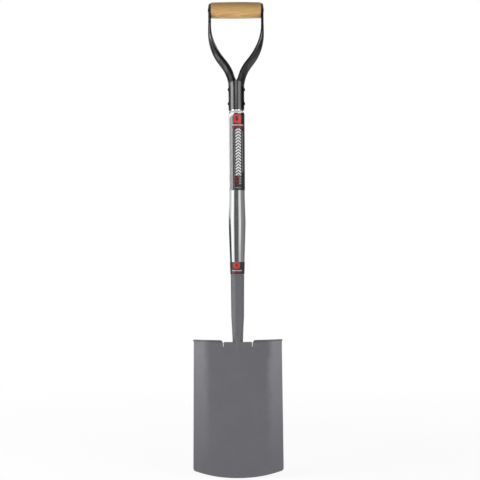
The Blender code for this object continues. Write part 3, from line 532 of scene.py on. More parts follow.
def shaft_radius(height):
    """Outer radius: a foot that widens to the swell, the straight upper tube, then the shoulder."""
    if height >= SHOULDER_BOTTOM:
        return between(SHAFT_RADIUS, SHAFT_TOP_RADIUS, ease((height - SHOULDER_BOTTOM) / SHOULDER_LENGTH))
    length, end = (SWELL_LENGTH, SHAFT_RADIUS) if height > SWELL else (SWELL_HEIGHT, SHAFT_FOOT_RADIUS)
    share = min(abs(height - SWELL) / length, 1.0)
    fall = (hypot(share, SWELL_SOFTNESS) - SWELL_SOFTNESS) / (hypot(1, SWELL_SOFTNESS) - SWELL_SOFTNESS)
    return between(SWELL_RADIUS, end, fall)


def turned_piece(name, profile, axis, material, replaced, steps=ROUND_STEPS):
    """Spins a closed outline of (radius, distance along the axis) points round the axis."""
    bm = bmesh.new()
    rows = []
    for i in range(steps):
        turn = 2 * pi * i / steps
        rows.append([axis @ Vector((radius * cos(turn), radius * sin(turn), along))
                     for radius, along in profile])
    add_grid(bm, rows + rows[:1], closed=True)
    return add_piece(name, bm, material, replaced)


heights = [SHAFT_BOTTOM + SHAFT_END_ROUNDING] + spaced(SHAFT_BOTTOM + SHAFT_END_ROUNDING, SWELL, 36)
heights += spaced(SWELL, SWELL + SWELL_LENGTH, 18) + spaced(SWELL + SWELL_LENGTH, SHOULDER_BOTTOM, 6)
heights += spaced(SHOULDER_BOTTOM, SHOULDER_BOTTOM + SHOULDER_LENGTH, 10) + [SHAFT_TOP]
outside = [(shaft_radius(height), height) for height in reversed(heights)]
outside += [(SHAFT_FOOT_RADIUS - SHAFT_END_ROUNDING * (1 - cos(turn)),
             SHAFT_BOTTOM + SHAFT_END_ROUNDING * (1 - sin(turn))) for turn in spaced(0, pi / 2, 3)]
inside = [(shaft_radius(height) - SHAFT_WALL, height) for height in [SHAFT_BOTTOM] + heights[1:]]

chrome, tree, shader, place = new_material("bright_chrome_plate_on_polished_steel", Metallic=1.0,
                                           Base_Color=linear("#C4C5C6"))
# Belt polishing before the bath leaves hair lines along the tube, drawn 0.4 mm wide so that they show.
line_place = add_node(tree, "Mapping", {"Scale": (2500, 2500, 12)}, {"Vector": place})
lines = add_node(tree, "TexNoise", {"Scale": 1}, {"Vector": line_place})
# Handling leaves patches about 15 mm wide where the mirror is a little duller.
smudge = add_node(tree, "TexNoise", {"Scale": 65, "Detail": 4, "Roughness": 0.6}, {"Vector": place})
smudge_rough = add_node(
    tree, "MapRange", {"From Min": 0.45, "From Max": 0.75, "To Min": 0.05, "To Max": 0.13},
    {"Value": smudge})
line_bump = add_node(tree, "Bump", {"Strength": 0.08, "Distance": 0.02 * MM}, {"Height": lines})
connect(shader, {"Roughness": smudge_rough, "Normal": line_bump})
turned_piece("shaft_tube", outside + inside, Matrix.Identity(4), chrome, "shaft", steps=96)


# Spigot rivet
# Domed steel rivet on the far side, which locks the neck's spigot in the shaft. It is zinc plated, so it is
# greyer and duller than the chrome round it.

RIVET_SHANK_RADIUS = 2.4 * MM
RIVET_HEAD_RADIUS = 4.3 * MM
RIVET_HEAD_HEIGHT = 1.5 * MM
HEAD_RIVET_HEIGHT = 44 * MM
RIVET_FLARE_RADIUS = 3.5 * MM
RIVET_FLARE_HEIGHT = 1.5 * MM


def dome(radius, height, base, steps=10):
    """Profile points of a low round head, from its rim to its crown."""
    ball = (radius ** 2 + height ** 2) / (2 * height)
    turns = [asin(radius / ball) * (1 - i / steps) for i in range(steps + 1)]
    return [(ball * sin(turn), base + height - ball + ball * cos(turn)) for turn in turns]


height = SHAFT_BOTTOM + HEAD_RIVET_HEIGHT
outside_radius = shaft_radius(height) + SEAT_GAP
bore = shaft_radius(height) - SHAFT_WALL - SEAT_GAP - NECK_WALL
inside_end = sqrt(bore ** 2 - RIVET_FLARE_RADIUS ** 2) - SEAT_GAP
profile = [(0, inside_end - RIVET_FLARE_HEIGHT), (RIVET_SHANK_RADIUS, inside_end - RIVET_FLARE_HEIGHT)]
profile += [(RIVET_FLARE_RADIUS, inside_end), (RIVET_SHANK_RADIUS, inside_end)]
profile += [(RIVET_SHANK_RADIUS, outside_radius), (RIVET_HEAD_RADIUS, outside_radius)]
profile += dome(RIVET_HEAD_RADIUS, RIVET_HEAD_HEIGHT, outside_radius)[1:]
to_front = Matrix.Translation((0, 0, height)) @ Matrix.Rotation(-pi / 2, 4, "X")

zinc, tree, shader, place = new_material("zinc_plated_rivet_steel", Metallic=1.0,
                                         Base_Color=linear("#A9ABAD"))
# The hammered and plated head has dimples about 1 mm wide.
grain = add_node(tree, "TexNoise", {"Scale": 900, "Detail": 3}, {"Vector": place})
zinc_rough = add_node(tree, "MapRange", {"To Min": 0.28, "To Max": 0.5}, {"Value": grain})
hammered = add_node(tree, "Bump", {"Strength": 0.3, "Distance": 0.05 * MM}, {"Height": grain})
connect(shader, {"Roughness": zinc_rough, "Normal": hammered})
turned_piece("spigot_rivet", profile, to_front, zinc, "head_rivet", steps=48)


# Labels
# Printed vinyl films, wrapped round the shaft's top and its foot after plating: white, silver and black
# grounds with generic marks in red and grey. They are satin and show their edges, 0.25 mm thick.

LABEL_THICKNESS = 0.25 * MM
SHAFT_LABEL_HEIGHT = 161 * MM
SHAFT_LABEL_MOUTH_GAP = 7.4 * MM
SHAFT_LABEL_BOTTOM = YOKE_MOUTH - SHAFT_LABEL_MOUTH_GAP - SHAFT_LABEL_HEIGHT
SHAFT_LABEL_START = radians(-100)
SHAFT_LABEL_END = radians(165)
SHAFT_LABEL_CORNER = 9 * MM
NECK_LABEL_FOOT_GAP = 0.6 * MM
NECK_LABEL_BOTTOM = SHAFT_BOTTOM + NECK_LABEL_FOOT_GAP
NECK_LABEL_HEIGHT = 25.9 * MM
NECK_LABEL_SEAM = radians(8)
NECK_LABEL_CORNER = 1.5 * MM
FILM_WHITE = "#EDEDEC"
FILM_SILVER = "#929295"
FILM_BLACK = "#1B1A1C"
INK_RED = "#C8372E"
INK_DARK_RED = "#6B1B26"
INK_WHITE = "#E4E3E1"
INK_GREY = "#8C8C8E"
INK_SAND = "#B9AEA6"
BAR_HALF_SHARE = 0.3


def printed_film(name, bottom, height, start, end, corner, material, replaced):
    """A thin film bent round the shaft, between two angles that are counted from -Y towards +X.

    Its UV map is in millimetres: across from -Y, and up from the film's lower edge.
    """
    widest = SHAFT_RADIUS * (end - start)
    turn = [corner * (1 - cos(a)) for a in [0.0] + spaced(0, pi / 2, 8)]
    across = turn + spaced(corner, widest - corner, 60) + [widest - along for along in reversed(turn[:-1])]
    bm = bmesh.new()
    layers = []
    for lift in (0.0, LABEL_THICKNESS):
        rows = []
        for along in across:
            into_corner = max(corner - min(along, widest - along), 0.0)
            cut = corner - sqrt(corner ** 2 - into_corner ** 2)
            angle = between(start, end, along / widest)
            row = []
            for z in [bottom + cut] + spaced(bottom + cut, bottom + height - cut, 16):
                radius = shaft_radius(z) + SEAT_GAP + lift
                row.append((radius * sin(angle), -radius * cos(angle), z))
            rows.append(row)
        layers.append(rows)
    inner, outer = layers
    add_grid(bm, inner)
    add_grid(bm, outer)
    for edge in (0, -1):
        add_grid(bm, [inner[edge], outer[edge]])
        add_grid(bm, [[row[edge] for row in inner], [row[edge] for row in outer]])
    film = add_piece(name, bm, material, replaced)
    uv = film.data.uv_layers.new(name="millimetres")
    for loop in film.data.loops:
        x, y, z = film.data.vertices[loop.vertex_index].co
        angle = atan2(x, -y)
        angle += 2 * pi if angle < start - radians(0.5) else 0.0
        uv.data[loop.index].uv = (angle * SHAFT_RADIUS / MM, (z - bottom) / MM)
    return film


def printed_material(name, ground, marks):
    """Film with rounded marks laid one over the other.

    A mark is (middle, half size, corner radius, colour), in millimetres. A pitch and a slope after these cut
    it into bars and bend them into chevrons.
    """
    material, tree, shader, place = new_material(name, Roughness=0.34, IOR=1.5)
    place_on_film = add_node(tree, "UVMap", {"uv_map": "millimetres"})
    under = {}
    for middle, half, corner, ink, *bars in marks:
        core = (half[0] - corner, half[1] - corner, 0)
        step = add_node(tree, "VectorMath", {"operation": "SUBTRACT", 1: (*middle, 0)}, {0: place_on_film})
        folded = add_node(tree, "VectorMath", {"operation": "ABSOLUTE"}, {0: step})
        past = add_node(tree, "VectorMath", {"operation": "SUBTRACT", 1: core}, {0: folded})
        past = add_node(tree, "VectorMath", {"operation": "MAXIMUM", 1: (0, 0, 0)}, {0: past})
        reach = add_node(tree, "VectorMath", {"operation": "LENGTH"}, {0: past})
        mask = add_node(tree, "Math", {"operation": "LESS_THAN", 1: corner}, {0: reach})
        if bars:
            pitch, slope = bars
            parts = add_node(tree, "SeparateXYZ", links={0: step})
            fold = add_node(tree, "Math", {"operation": "ABSOLUTE"}, {0: parts.outputs["X"]})
            rise = add_node(
                tree, "Math", {"operation": "MULTIPLY_ADD", 1: slope}, {0: fold, 2: parts.outputs["Y"]})
            wave = add_node(tree, "Math", {"operation": "PINGPONG", 1: pitch / 2}, {0: rise})
            bar = add_node(tree, "Math", {"operation": "LESS_THAN", 1: pitch * BAR_HALF_SHARE}, {0: wave})
            mask = add_node(tree, "Math", {"operation": "MULTIPLY"}, {0: mask, 1: bar})
        layer = add_node(
            tree, "Mix", {"data_type": "RGBA", "A": linear(ground), "B": linear(ink)},
            {"Factor": mask, **under})
        under = {"A": layer}
    # The film follows the tube over specks of dust, so its gloss wavers every few millimetres.
    waver = add_node(tree, "TexNoise", {"Scale": 260}, {"Vector": place})
    bump = add_node(tree, "Bump", {"Strength": 0.12, "Distance": 0.05 * MM}, {"Height": waver})
    connect(shader, {"Base Color": layer, "Normal": bump})
    return material


shaft_marks = [
    ((21, 70), (38.4, 86), 9, FILM_SILVER),
    ((8.7, 70), (17.2, 92), 9.5, FILM_BLACK),
    ((5.2, 162.6), (3.7, 2.3), 1.8, FILM_WHITE),
    ((-4.6, 63.5), (0.35, 63.5), 0.2, INK_GREY),
    ((1.9, 148.8), (8.2, 9.1), 4, INK_RED),
    ((0.6, 150), (2.9, 4.8), 1.6, INK_DARK_RED),
    ((3, 135.9), (12.5, 1.3), 0.4, INK_SAND),
    ((3.4, 131.1), (13, 2.4), 0.4, INK_DARK_RED),
    ((3.4, 79), (5.8, 49.3), 0.5, INK_WHITE, 6.2, 0.8),
    ((13.1, 80.5), (1.7, 42.5), 0.3, INK_GREY, 2.6, 0),
    ((0.5, 20), (7.5, 8.6), 0.5, INK_DARK_RED, 7.2, 1.0),
    ((7.3, 20.2), (2.4, 8.2), 0.6, INK_GREY, 5.4, 0.6),
    ((2.9, 5.2), (5.6, 0.9), 0.3, INK_GREY),
]
neck_marks = [
    ((-1.4, 18.8), (7.6, 7.2), 7.1, INK_RED),
    ((-1.4, 18.8), (3.8, 3.8), 3.6, INK_DARK_RED, 3.4, 1.0),
    ((-1.2, 8), (12.4, 1.2), 0.3, INK_SAND),
    ((-2.5, 3.4), (10.4, 1.3), 0.3, INK_DARK_RED),
]
shaft_film = printed_material("printed_vinyl_shaft_label", FILM_WHITE, shaft_marks)
neck_film = printed_material("printed_vinyl_neck_label", FILM_BLACK, neck_marks)
printed_film("shaft_label_film", SHAFT_LABEL_BOTTOM, SHAFT_LABEL_HEIGHT,
             SHAFT_LABEL_START, SHAFT_LABEL_END, SHAFT_LABEL_CORNER, shaft_film, "shaft_label")
printed_film("neck_label_film", NECK_LABEL_BOTTOM, NECK_LABEL_HEIGHT,
             -pi + NECK_LABEL_SEAM, pi - NECK_LABEL_SEAM, NECK_LABEL_CORNER, neck_film, "neck_label")


# Yoke
# Steel tube, split lengthwise above the shaft and spread into two channelled arms, with a dished eye at each
# end for the grip. It is dipped in black stoving enamel, which is glossy but runs thick and thin.

YOKE_RADIUS = 16.6 * MM
YOKE_WALL = 1.9 * MM
SOCKET_LENGTH = 45.5 * MM
LOWER_BEND_RADIUS = 71.7 * MM
UPPER_BEND_RADIUS = 104 * MM
ARM_ANGLE = radians(37.2)
ARM_STRAIGHT = 10.4 * MM
ARM_DEPTH = 16.2 * MM
ARM_UPRIGHT = 49.7 * MM
EYE_RADIUS = 14.8 * MM
EYE_DEPTH = 5.4 * MM
EYE_INSET = 0.5 * MM
EYE_INSET_SHARE = 0.66
EYE_SQUARENESS = 3.2
DEPTH_FADE_START = 30 * MM
DEPTH_FADE_LENGTH = 120 * MM
DEPTH_FADE_POWER = 1.6
THROAT_DEPTH = 2.3 * MM
THROAT_START = 10 * MM
THROAT_LENGTH = 8 * MM
RIM_ROUNDING = 0.5 * MM
SECTION_STEPS = 26


def superellipse(share, squareness):
    """Height of a unit superellipse over share of its half-width."""
    return max(1 - abs(share) ** squareness, 0.0) ** (1 / squareness)


def arm_stations():
    """Stations up one arm: (outer crest x, height, lean, rise along the arm)."""
    flare = YOKE_MOUTH + SOCKET_LENGTH
    stations = [(YOKE_RADIUS, height, 0.0, 0.0) for height in [YOKE_MOUTH] + spaced(YOKE_MOUTH, flare, 8)]
    for lean in spaced(0, ARM_ANGLE, 26):
        x = YOKE_RADIUS + LOWER_BEND_RADIUS * (1 - cos(lean))
        stations.append((x, flare + LOWER_BEND_RADIUS * sin(lean), lean, LOWER_BEND_RADIUS * lean))
    x, height, lean, run = stations[-1]
    x += ARM_STRAIGHT * sin(ARM_ANGLE)
    height += ARM_STRAIGHT * cos(ARM_ANGLE)
    run += ARM_STRAIGHT
    centre_x = x - UPPER_BEND_RADIUS * cos(ARM_ANGLE)
    centre_height = height + UPPER_BEND_RADIUS * sin(ARM_ANGLE)
    for turn in [ARM_ANGLE] + spaced(ARM_ANGLE, 0, 30):
        stations.append((centre_x + UPPER_BEND_RADIUS * cos(turn),
                         centre_height - UPPER_BEND_RADIUS * sin(turn),
                         turn, run + UPPER_BEND_RADIUS * (ARM_ANGLE - turn)))
    x, height, lean, run = stations[-1]
    for up in spaced(0, ARM_UPRIGHT, 16):
        inset = EYE_INSET * ease(up / (ARM_UPRIGHT * EYE_INSET_SHARE))
        stations.append((x - inset, height + up, 0.0, run + up))
    return stations


def arm_sections(wall):
    """Half sections of the arm's outer skin, or of its inner skin when wall is its thickness."""
    sections = []
    for crest, height, lean, run in arm_stations():
        outward = Vector((cos(lean), 0, -sin(lean)))
        fade = ease(max((run - DEPTH_FADE_START) / DEPTH_FADE_LENGTH, 0.0) ** DEPTH_FADE_POWER)
        throat = THROAT_DEPTH * (1 - ease((run - THROAT_START) / THROAT_LENGTH))
        depth = min(crest / cos(lean), throat + between(ARM_DEPTH, EYE_DEPTH, fade))
        half_width = between(YOKE_RADIUS, EYE_RADIUS, fade)
        rim = Vector((crest, 0, height)) - outward * depth
        sections.append((rim, outward, depth - wall, half_width - wall, between(2, EYE_SQUARENESS, fade)))
    rim, outward = sections[-1][:2]
    for turn in spaced(0, pi / 2, 18):
        depth = (EYE_DEPTH - wall) * superellipse(sin(turn), EYE_SQUARENESS)
        half_width = (EYE_RADIUS - wall) * cos(turn)
        up = Vector((0, 0, (EYE_RADIUS - wall) * sin(turn)))
        sections.append((rim + up, outward, depth, half_width, EYE_SQUARENESS))
    return sections


def section_points(section, sign):
    """Points across one half section, from its -Y rim over the crest to its +Y rim."""
    rim, outward, depth, half_width, squareness = section
    points = []
    for i in range(SECTION_STEPS + 1):
        angle = -pi / 2 + pi * i / SECTION_STEPS
        s, c = sin(angle), max(cos(angle), 0.0)
        away = depth * c ** (2 / squareness)
        aside = half_width * abs(s) ** (2 / squareness) * (1 if s > 0 else -1)
        point = rim + outward * away + Vector((0, aside, 0))
        points.append((point.x * sign, point.y, point.z))
    return points


bm = bmesh.new()
for sign in (1, -1):
    outer = [section_points(section, sign) for section in arm_sections(0.0)]
    inner = [section_points(section, sign) for section in arm_sections(YOKE_WALL)]
    add_grid(bm, outer)
    add_grid(bm, inner)
    add_grid(bm, [inner[0], outer[0]])
    for edge in (0, -1):
        inner_rim, outer_rim = [row[edge] for row in inner], [row[edge] for row in outer]
        apart = [abs(point[0]) > SEAM_REACH or abs(after[0]) > SEAM_REACH
                 for point, after in zip(outer_rim, outer_rim[1:])]
        add_grid(bm, [inner_rim, outer_rim], keep=lambda row, column: apart[column])

enamel, tree, shader, place = new_material("black_stoving_enamel", IOR=1.5)
# Dipping leaves soft lumps about 5 mm wide, which break the highlights, and thinner patches of 22 mm.
lumps = add_node(tree, "TexNoise", {"Scale": 190, "Detail": 3, "Roughness": 0.55}, {"Vector": place})
thin = add_node(tree, "TexNoise", {"Scale": 45}, {"Vector": place})
tone = add_node(
    tree, "Mix", {"data_type": "RGBA", "A": linear("#09090A"), "B": linear("#121214")},
    {"Factor": thin})
enamel_rough = add_node(
    tree, "MapRange", {"From Min": 0.35, "From Max": 0.7, "To Min": 0.06, "To Max": 0.13},
    {"Value": thin})
# The tube keeps the mill's hair lines, 1.1 mm apart. Its swaged socket is smoother than the arms.
hair_place = add_node(tree, "Mapping", {"Scale": (900, 900, 40)}, {"Vector": place})
hair = add_node(tree, "TexNoise", {"Scale": 1}, {"Vector": hair_place})
relief = add_node(tree, "Math", {"operation": "MULTIPLY_ADD", 1: 0.25}, {0: hair, 2: lumps})
place_parts = add_node(tree, "SeparateXYZ", links={0: place})
on_arm = add_node(
    tree, "MapRange",
    {"From Min": YOKE_MOUTH + 20 * MM, "From Max": YOKE_MOUTH + 80 * MM, "To Min": 0.15},
    {"Value": place_parts.outputs["Z"]})
arm_relief = add_node(tree, "Math", {"operation": "MULTIPLY"}, {0: relief, 1: on_arm})
bump = add_node(tree, "Bump", {"Strength": 0.5, "Distance": 0.2 * MM}, {"Height": arm_relief})
connect(shader, {"Base Color": tone, "Roughness": enamel_rough, "Normal": bump})
yoke = add_piece("yoke_arms", bm, enamel, "yoke", smooth_angle=40)
round_edges(yoke, RIM_ROUNDING, 50)


# Yoke rivets
# Two steel rivets through the socket and the shaft, one above the other, with domed heads. They are set
# before the dip, so the enamel covers them.

RIVET_MOUTH_DISTANCE = 13.6 * MM
RIVET_SPACING = 29.5 * MM


def rivet_profile(shank_radius, head_radius, head_height, half_length):
    """Outline of a rivet with a domed head at each end, from its bottom crown to its top one."""
    top = [(shank_radius, half_length), (head_radius, half_length)]
    top += dome(head_radius, head_height, half_length)[1:]
    return [(radius, -along) for radius, along in reversed(top)] + top


def along_x(height):
    """Turns a shape made round Z to lie round X at a height."""
    return Matrix.Translation((0, 0, height)) @ Matrix.Rotation(pi / 2, 4, "Y")


lower = YOKE_MOUTH + RIVET_MOUTH_DISTANCE
for name, height in (("yoke_rivet_lower", lower), ("yoke_rivet_upper", lower + RIVET_SPACING)):
    profile = rivet_profile(RIVET_SHANK_RADIUS, RIVET_HEAD_RADIUS, RIVET_HEAD_HEIGHT,
                            YOKE_RADIUS + SEAT_GAP)
    turned_piece(name + "_steel", profile, along_x(height), enamel, name, steps=48)


# Grip
# Ash barrel, turned and bored along its length, sanded and dipped in clear varnish. The grain runs along it,
# and its growth rings, 3 mm apart, are cut slightly askew and so show as long flat arches.

GRIP_RADIUS = 17.3 * MM
GRIP_END_RADIUS = 16.4 * MM
GRIP_EDGE_ROUNDING = 1 * MM
PIN_RADIUS = 3 * MM
BORE_GAP = 0.3 * MM
BOSS_DEPTH_SHARE = 0.8
BOSS_CLEARANCE = 1.2 * MM
RING_HEART = (0, 0.045, -0.925)
RING_TILT = (0, radians(2.2), radians(-3))
ASH_LIGHT = "#D2AA6A"
ASH_MIDDLE = "#BD9052"
ASH_DARK = "#976F3C"

EYE_OUTSIDE, PIN_HEIGHT = arm_stations()[-1][:2]
end = EYE_OUTSIDE - EYE_DEPTH - SEAT_GAP
boss_end = EYE_OUTSIDE - YOKE_WALL - SEAT_GAP
boss_radius = (EYE_RADIUS - YOKE_WALL) * superellipse(BOSS_DEPTH_SHARE, EYE_SQUARENESS) - BOSS_CLEARANCE
half_profile = [(PIN_RADIUS + BORE_GAP, boss_end), (boss_radius, boss_end), (boss_radius, end)]
half_profile += [(GRIP_END_RADIUS - GRIP_EDGE_ROUNDING * (1 - sin(turn)),
                  end - GRIP_EDGE_ROUNDING * (1 - cos(turn))) for turn in [0.0] + spaced(0, pi / 2, 5)]
half_profile += [(between(GRIP_RADIUS, GRIP_END_RADIUS, share ** 2), (end - GRIP_EDGE_ROUNDING) * share)
                 for share in spaced(1, 0, 16)[:-1]]
profile = half_profile + [(GRIP_RADIUS, 0)] + [(radius, -x) for radius, x in reversed(half_profile)]

ash, tree, shader, place = new_material("varnished_ash", IOR=1.5, Coat_Weight=0.35,
                                        Coat_Roughness=0.18, Coat_IOR=1.5)
# The billet's heart lay below and behind the grip, so the rings are wide arcs across it.
ring_place = add_node(
    tree, "Mapping", {"Location": RING_HEART, "Rotation": RING_TILT}, {"Vector": place})
ring_wave = add_node(
    tree, "TexWave", {"wave_type": "RINGS", "rings_direction": "X", "wave_profile": "SAW", "Scale": 95,
                      "Distortion": 1.6, "Detail Scale": 0.35}, {"Vector": ring_place})
# The fibres are streaks 2.4 mm wide and 45 mm long, and broader streaks of 17 mm darken the wood.
fibre_place = add_node(tree, "Mapping", {"Scale": (22, 420, 420)}, {"Vector": place})
fibre = add_node(tree, "TexNoise", {"Scale": 1, "Detail": 4, "Roughness": 0.6}, {"Vector": fibre_place})
# Open pores in the early wood are dashes, drawn 0.5 mm wide and 12 mm long so that they show.
pore_place = add_node(tree, "Mapping", {"Scale": (85, 1900, 1900)}, {"Vector": place})
pore = add_node(tree, "TexNoise", {"Scale": 1, "Detail": 1}, {"Vector": pore_place})
pore_mask = add_node(
    tree, "MapRange", {"From Min": 0.6, "From Max": 0.68, "To Max": 0.5}, {"Value": pore})
band_place = add_node(tree, "Mapping", {"Scale": (6, 60, 60)}, {"Vector": place})
band = add_node(tree, "TexNoise", {"Scale": 1}, {"Vector": band_place})
ring_tone = add_node(tree, "ValToRGB", links={"Fac": ring_wave.outputs["Fac"]})
for stop, position, colour in zip(ring_tone.color_ramp.elements, (0.15, 0.95), (ASH_LIGHT, ASH_MIDDLE)):
    stop.position = position
    stop.color = linear(colour)
fibre_tone = add_node(
    tree, "MapRange", {"From Min": 0.3, "From Max": 0.7, "To Min": 0.94, "To Max": 1.05},
    {"Value": fibre})
band_tone = add_node(
    tree, "MapRange", {"From Min": 0.3, "From Max": 0.7, "To Min": 0.88, "To Max": 1.1},
    {"Value": band})
both_tones = add_node(tree, "Math", {"operation": "MULTIPLY"}, {0: fibre_tone, 1: band_tone})
grained = add_node(tree, "VectorMath", {"operation": "SCALE"}, {0: ring_tone, "Scale": both_tones})
pored = add_node(
    tree, "Mix", {"data_type": "RGBA", "B": linear(ASH_DARK)}, {"Factor": pore_mask, "A": grained})
wood_rough = add_node(tree, "MapRange", {"To Min": 0.4, "To Max": 0.55}, {"Value": fibre})
wood_bump = add_node(
    tree, "Bump", {"Strength": 0.25, "Distance": 0.08 * MM, "invert": True}, {"Height": pore_mask})
connect(shader, {"Base Color": pored, "Roughness": wood_rough, "Normal": wood_bump})
turned_piece("grip_barrel", profile, along_x(PIN_HEIGHT), ash, "grip", steps=96)


# Grip pin
# Steel pin through both eyes and the grip's bore, peened over at each end.
# It is painted black with the yoke.

PIN_HEAD_RADIUS = 5.2 * MM
PIN_HEAD_HEIGHT = 0.6 * MM

profile = rivet_profile(PIN_RADIUS, PIN_HEAD_RADIUS, PIN_HEAD_HEIGHT, EYE_OUTSIDE + SEAT_GAP)
turned_piece("grip_pin_steel", profile, along_x(PIN_HEIGHT), enamel, "grip_pin", steps=48)


# Studio
# White paper floor and backdrop, upright softboxes on the left and right, a window behind the camera and a
# fill from the rear. Grey cards round them are the dim room that the chrome and the enamel mirror.

FLOOR_REACH = 6.0
FLOOR_GLOW = 0.55
SHADOW_SHARE = 0.3
ROOM_RADIUS = 4.0


def softbox(name, azimuth, bottom, top, distance, width, radiance, mirrored=True):
    """An upright softbox that faces the spade's axis. Azimuth is in degrees, from -Y towards +X.

    Radiance is what a mirror would show of it. If it isn't mirrored, it only lights the spade diffusely.
    """
    turn = radians(azimuth)
    lamp = bpy.data.lights.new(name, "AREA")
    lamp.shape = "RECTANGLE"
    lamp.size = width
    lamp.size_y = top - bottom
    lamp.energy = radiance * width * (top - bottom) * pi
    obj = bpy.data.objects.new(name, lamp)
    obj.location = (distance * sin(turn), -distance * cos(turn), (bottom + top) / 2)
    obj.rotation_euler = (Vector((0, 0, obj.location.z)) - obj.location).to_track_quat("-Z", "Y").to_euler()
    obj.visible_camera = False
    obj.visible_glossy = mirrored
    bpy.context.scene.collection.objects.link(obj)


softbox("left_softbox_core", -66.5, 0.93, 1.13, 1.7, 1.34, 7.4)
softbox("left_softbox", -67.5, 1.18, 1.32, 1.7, 1.62, 3.8)
softbox("left_reflector", -70, 0.3, 0.93, 1.7, 1.22, 0.75)
softbox("left_fill", -70, 0.3, 0.93, 1.8, 1.3, 1.5, mirrored=False)
softbox("left_floor_strip", -75, 0.02, 0.3, 1.7, 1.5, 2.6)
softbox("right_softbox", 43, 0.95, 1.25, 1.9, 1.3, 4)
softbox("right_reflector", 40, 0.3, 0.95, 1.9, 0.81, 0.25)
softbox("right_fill", 46, 0.3, 0.95, 2, 1.05, 1.4, mirrored=False)
softbox("right_floor_strip", 78, 0.02, 0.35, 1.9, 1.5, 3.2, mirrored=False)
softbox("front_window", -6.5, 1.25, 1.65, 3.8, 2.1, 2.6)
softbox("rear_fill", 180, 0.1, 1.3, 2.6, 2, 2.5, mirrored=False)

paper = bpy.data.materials.new("white_paper")
paper.use_nodes = True
tree = paper.node_tree
tree.nodes.clear()
camera_ray = add_node(tree, "LightPath").outputs["Is Camera Ray"]
lit = add_node(tree, "BsdfDiffuse", {"Color": linear("#F2F2F2")})
glow = add_node(tree, "Emission", {"Strength": FLOOR_GLOW})
lit_and_glowing = add_node(tree, "AddShader", links={0: lit, 1: glow})
white = add_node(tree, "Emission")
# The camera sees the paper burnt out, and a share of the spade's shadow stays on it close to the blade.
place = add_node(tree, "TexCoord").outputs["Object"]
away = add_node(tree, "VectorMath", {"operation": "LENGTH"}, {0: place})
burnt_out = add_node(
    tree, "MapRange", {"From Min": 0.5, "From Max": 1.6, "To Min": 1 - SHADOW_SHARE}, {"Value": away})
share = add_node(tree, "Math", {"operation": "MULTIPLY"}, {0: camera_ray, 1: burnt_out})
paper_look = add_node(tree, "MixShader", links={0: share, 1: lit_and_glowing, 2: white})
add_node(tree, "OutputMaterial", links={0: paper_look})
bm = bmesh.new()
add_grid(bm, [[(x, y, 0) for x in (-FLOOR_REACH, FLOOR_REACH)] for y in (-FLOOR_REACH, FLOOR_REACH)])
floor = mesh_object("paper_floor", bm, paper)

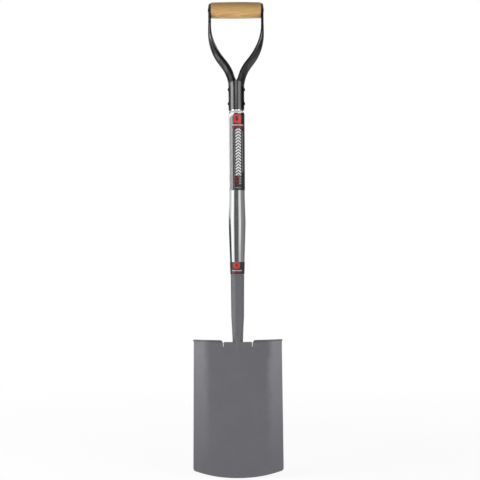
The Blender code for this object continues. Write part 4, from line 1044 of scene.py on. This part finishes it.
# Each card runs between two azimuths and two heights.
cards = [
    ("front_table", -29, 20, 0, 1.17, "#787878"),
    ("table_end", -39, -29, 0, 1.17, "#303030"),
    ("front_curtain", -47, -28, 1.22, 2.4, "#303030"),
    ("front_ceiling", -28, 62, 1.68, 2.4, "#606060"),
    ("left_ceiling", -104, -47, 1.6, 2.4, "#303030"),
    ("right_wall", 56, 104, 0, 1.2, "#A6A6A6"),
    ("right_doorway", 104, 178, 0, 1.2, "#8A8A8A"),
    ("right_curtain", 78, 150, 1.26, 2.4, "#303030"),
    ("left_bench", -180, -98, 0, 0.52, "#505050"),
    ("left_wall", -180, -98, 0.52, 0.74, "#909090"),
    ("left_curtain", -180, -116, 1.26, 2.4, "#303030"),
]
for name, first, last, bottom, top, grey in cards:
    bm = bmesh.new()
    turns = [radians(azimuth) for azimuth in [first] + spaced(first, last, 16)]
    add_grid(bm, [[(ROOM_RADIUS * sin(turn), -ROOM_RADIUS * cos(turn), height) for turn in turns]
                  for height in (bottom, top)])
    cloth = bpy.data.materials.new(name + "_cloth")
    cloth.use_nodes = True
    cloth.node_tree.nodes.clear()
    glow = add_node(cloth.node_tree, "Emission", {"Color": linear(grey)})
    add_node(cloth.node_tree, "OutputMaterial", links={0: glow})
    card = mesh_object(name, bm, cloth)
    card.visible_camera = False
    card.visible_shadow = False
    card.visible_transmission = False

world = bpy.data.worlds.new("white_studio")
bpy.context.scene.world = world
world.use_nodes = True
tree = world.node_tree
tree.nodes.clear()
path_kind = add_node(tree, "LightPath")
mirrored = add_node(
    tree, "Math", {"operation": "MAXIMUM"},
    {0: path_kind.outputs["Is Camera Ray"], 1: path_kind.outputs["Is Glossy Ray"]})
seen = add_node(
    tree, "Math", {"operation": "MAXIMUM"}, {0: mirrored, 1: path_kind.outputs["Is Transmission Ray"]})
# The walls are white and the ceiling is dim.
direction = add_node(tree, "SeparateXYZ", links={0: add_node(tree, "TexCoord").outputs["Generated"]})
fill_level = add_node(
    tree, "MapRange", {"From Min": 0.1, "From Max": 0.7, "To Min": 0.62, "To Max": 0.08},
    {"Value": direction.outputs["Z"]})
fill = add_node(tree, "Background", links={"Strength": fill_level})
white_level = add_node(
    tree, "MapRange", {"From Min": 0.75, "From Max": 0.95, "To Min": 1, "To Max": 0.3},
    {"Value": direction.outputs["Z"]})
backdrop = add_node(tree, "Background", {"Color": (1, 1, 1, 1)}, {"Strength": white_level})
sky = add_node(tree, "MixShader", links={0: seen, 1: fill, 2: backdrop})
add_node(tree, "OutputWorld", links={0: sky})


# Camera
# It stands square to the blade's back, level with the middle of the spade, and its roll is the photograph's.

CAMERA_DISTANCE = 2.2
CAMERA_HEIGHT = 0.5
CAMERA_OFFSET = 0.0058
CAMERA_ROLL = radians(-0.33)
CAMERA_LENS = 78.6

camera = bpy.data.objects.new("camera", bpy.data.cameras.new("camera"))
camera.data.lens = CAMERA_LENS
camera.matrix_world = (Matrix.Translation((CAMERA_OFFSET, -CAMERA_DISTANCE, CAMERA_HEIGHT))
                       @ Matrix.Rotation(pi / 2, 4, "X") @ Matrix.Rotation(CAMERA_ROLL, 4, "Z"))
bpy.context.scene.collection.objects.link(camera)
bpy.context.scene.camera = camera
bpy.context.scene.view_settings.view_transform = "Standard"
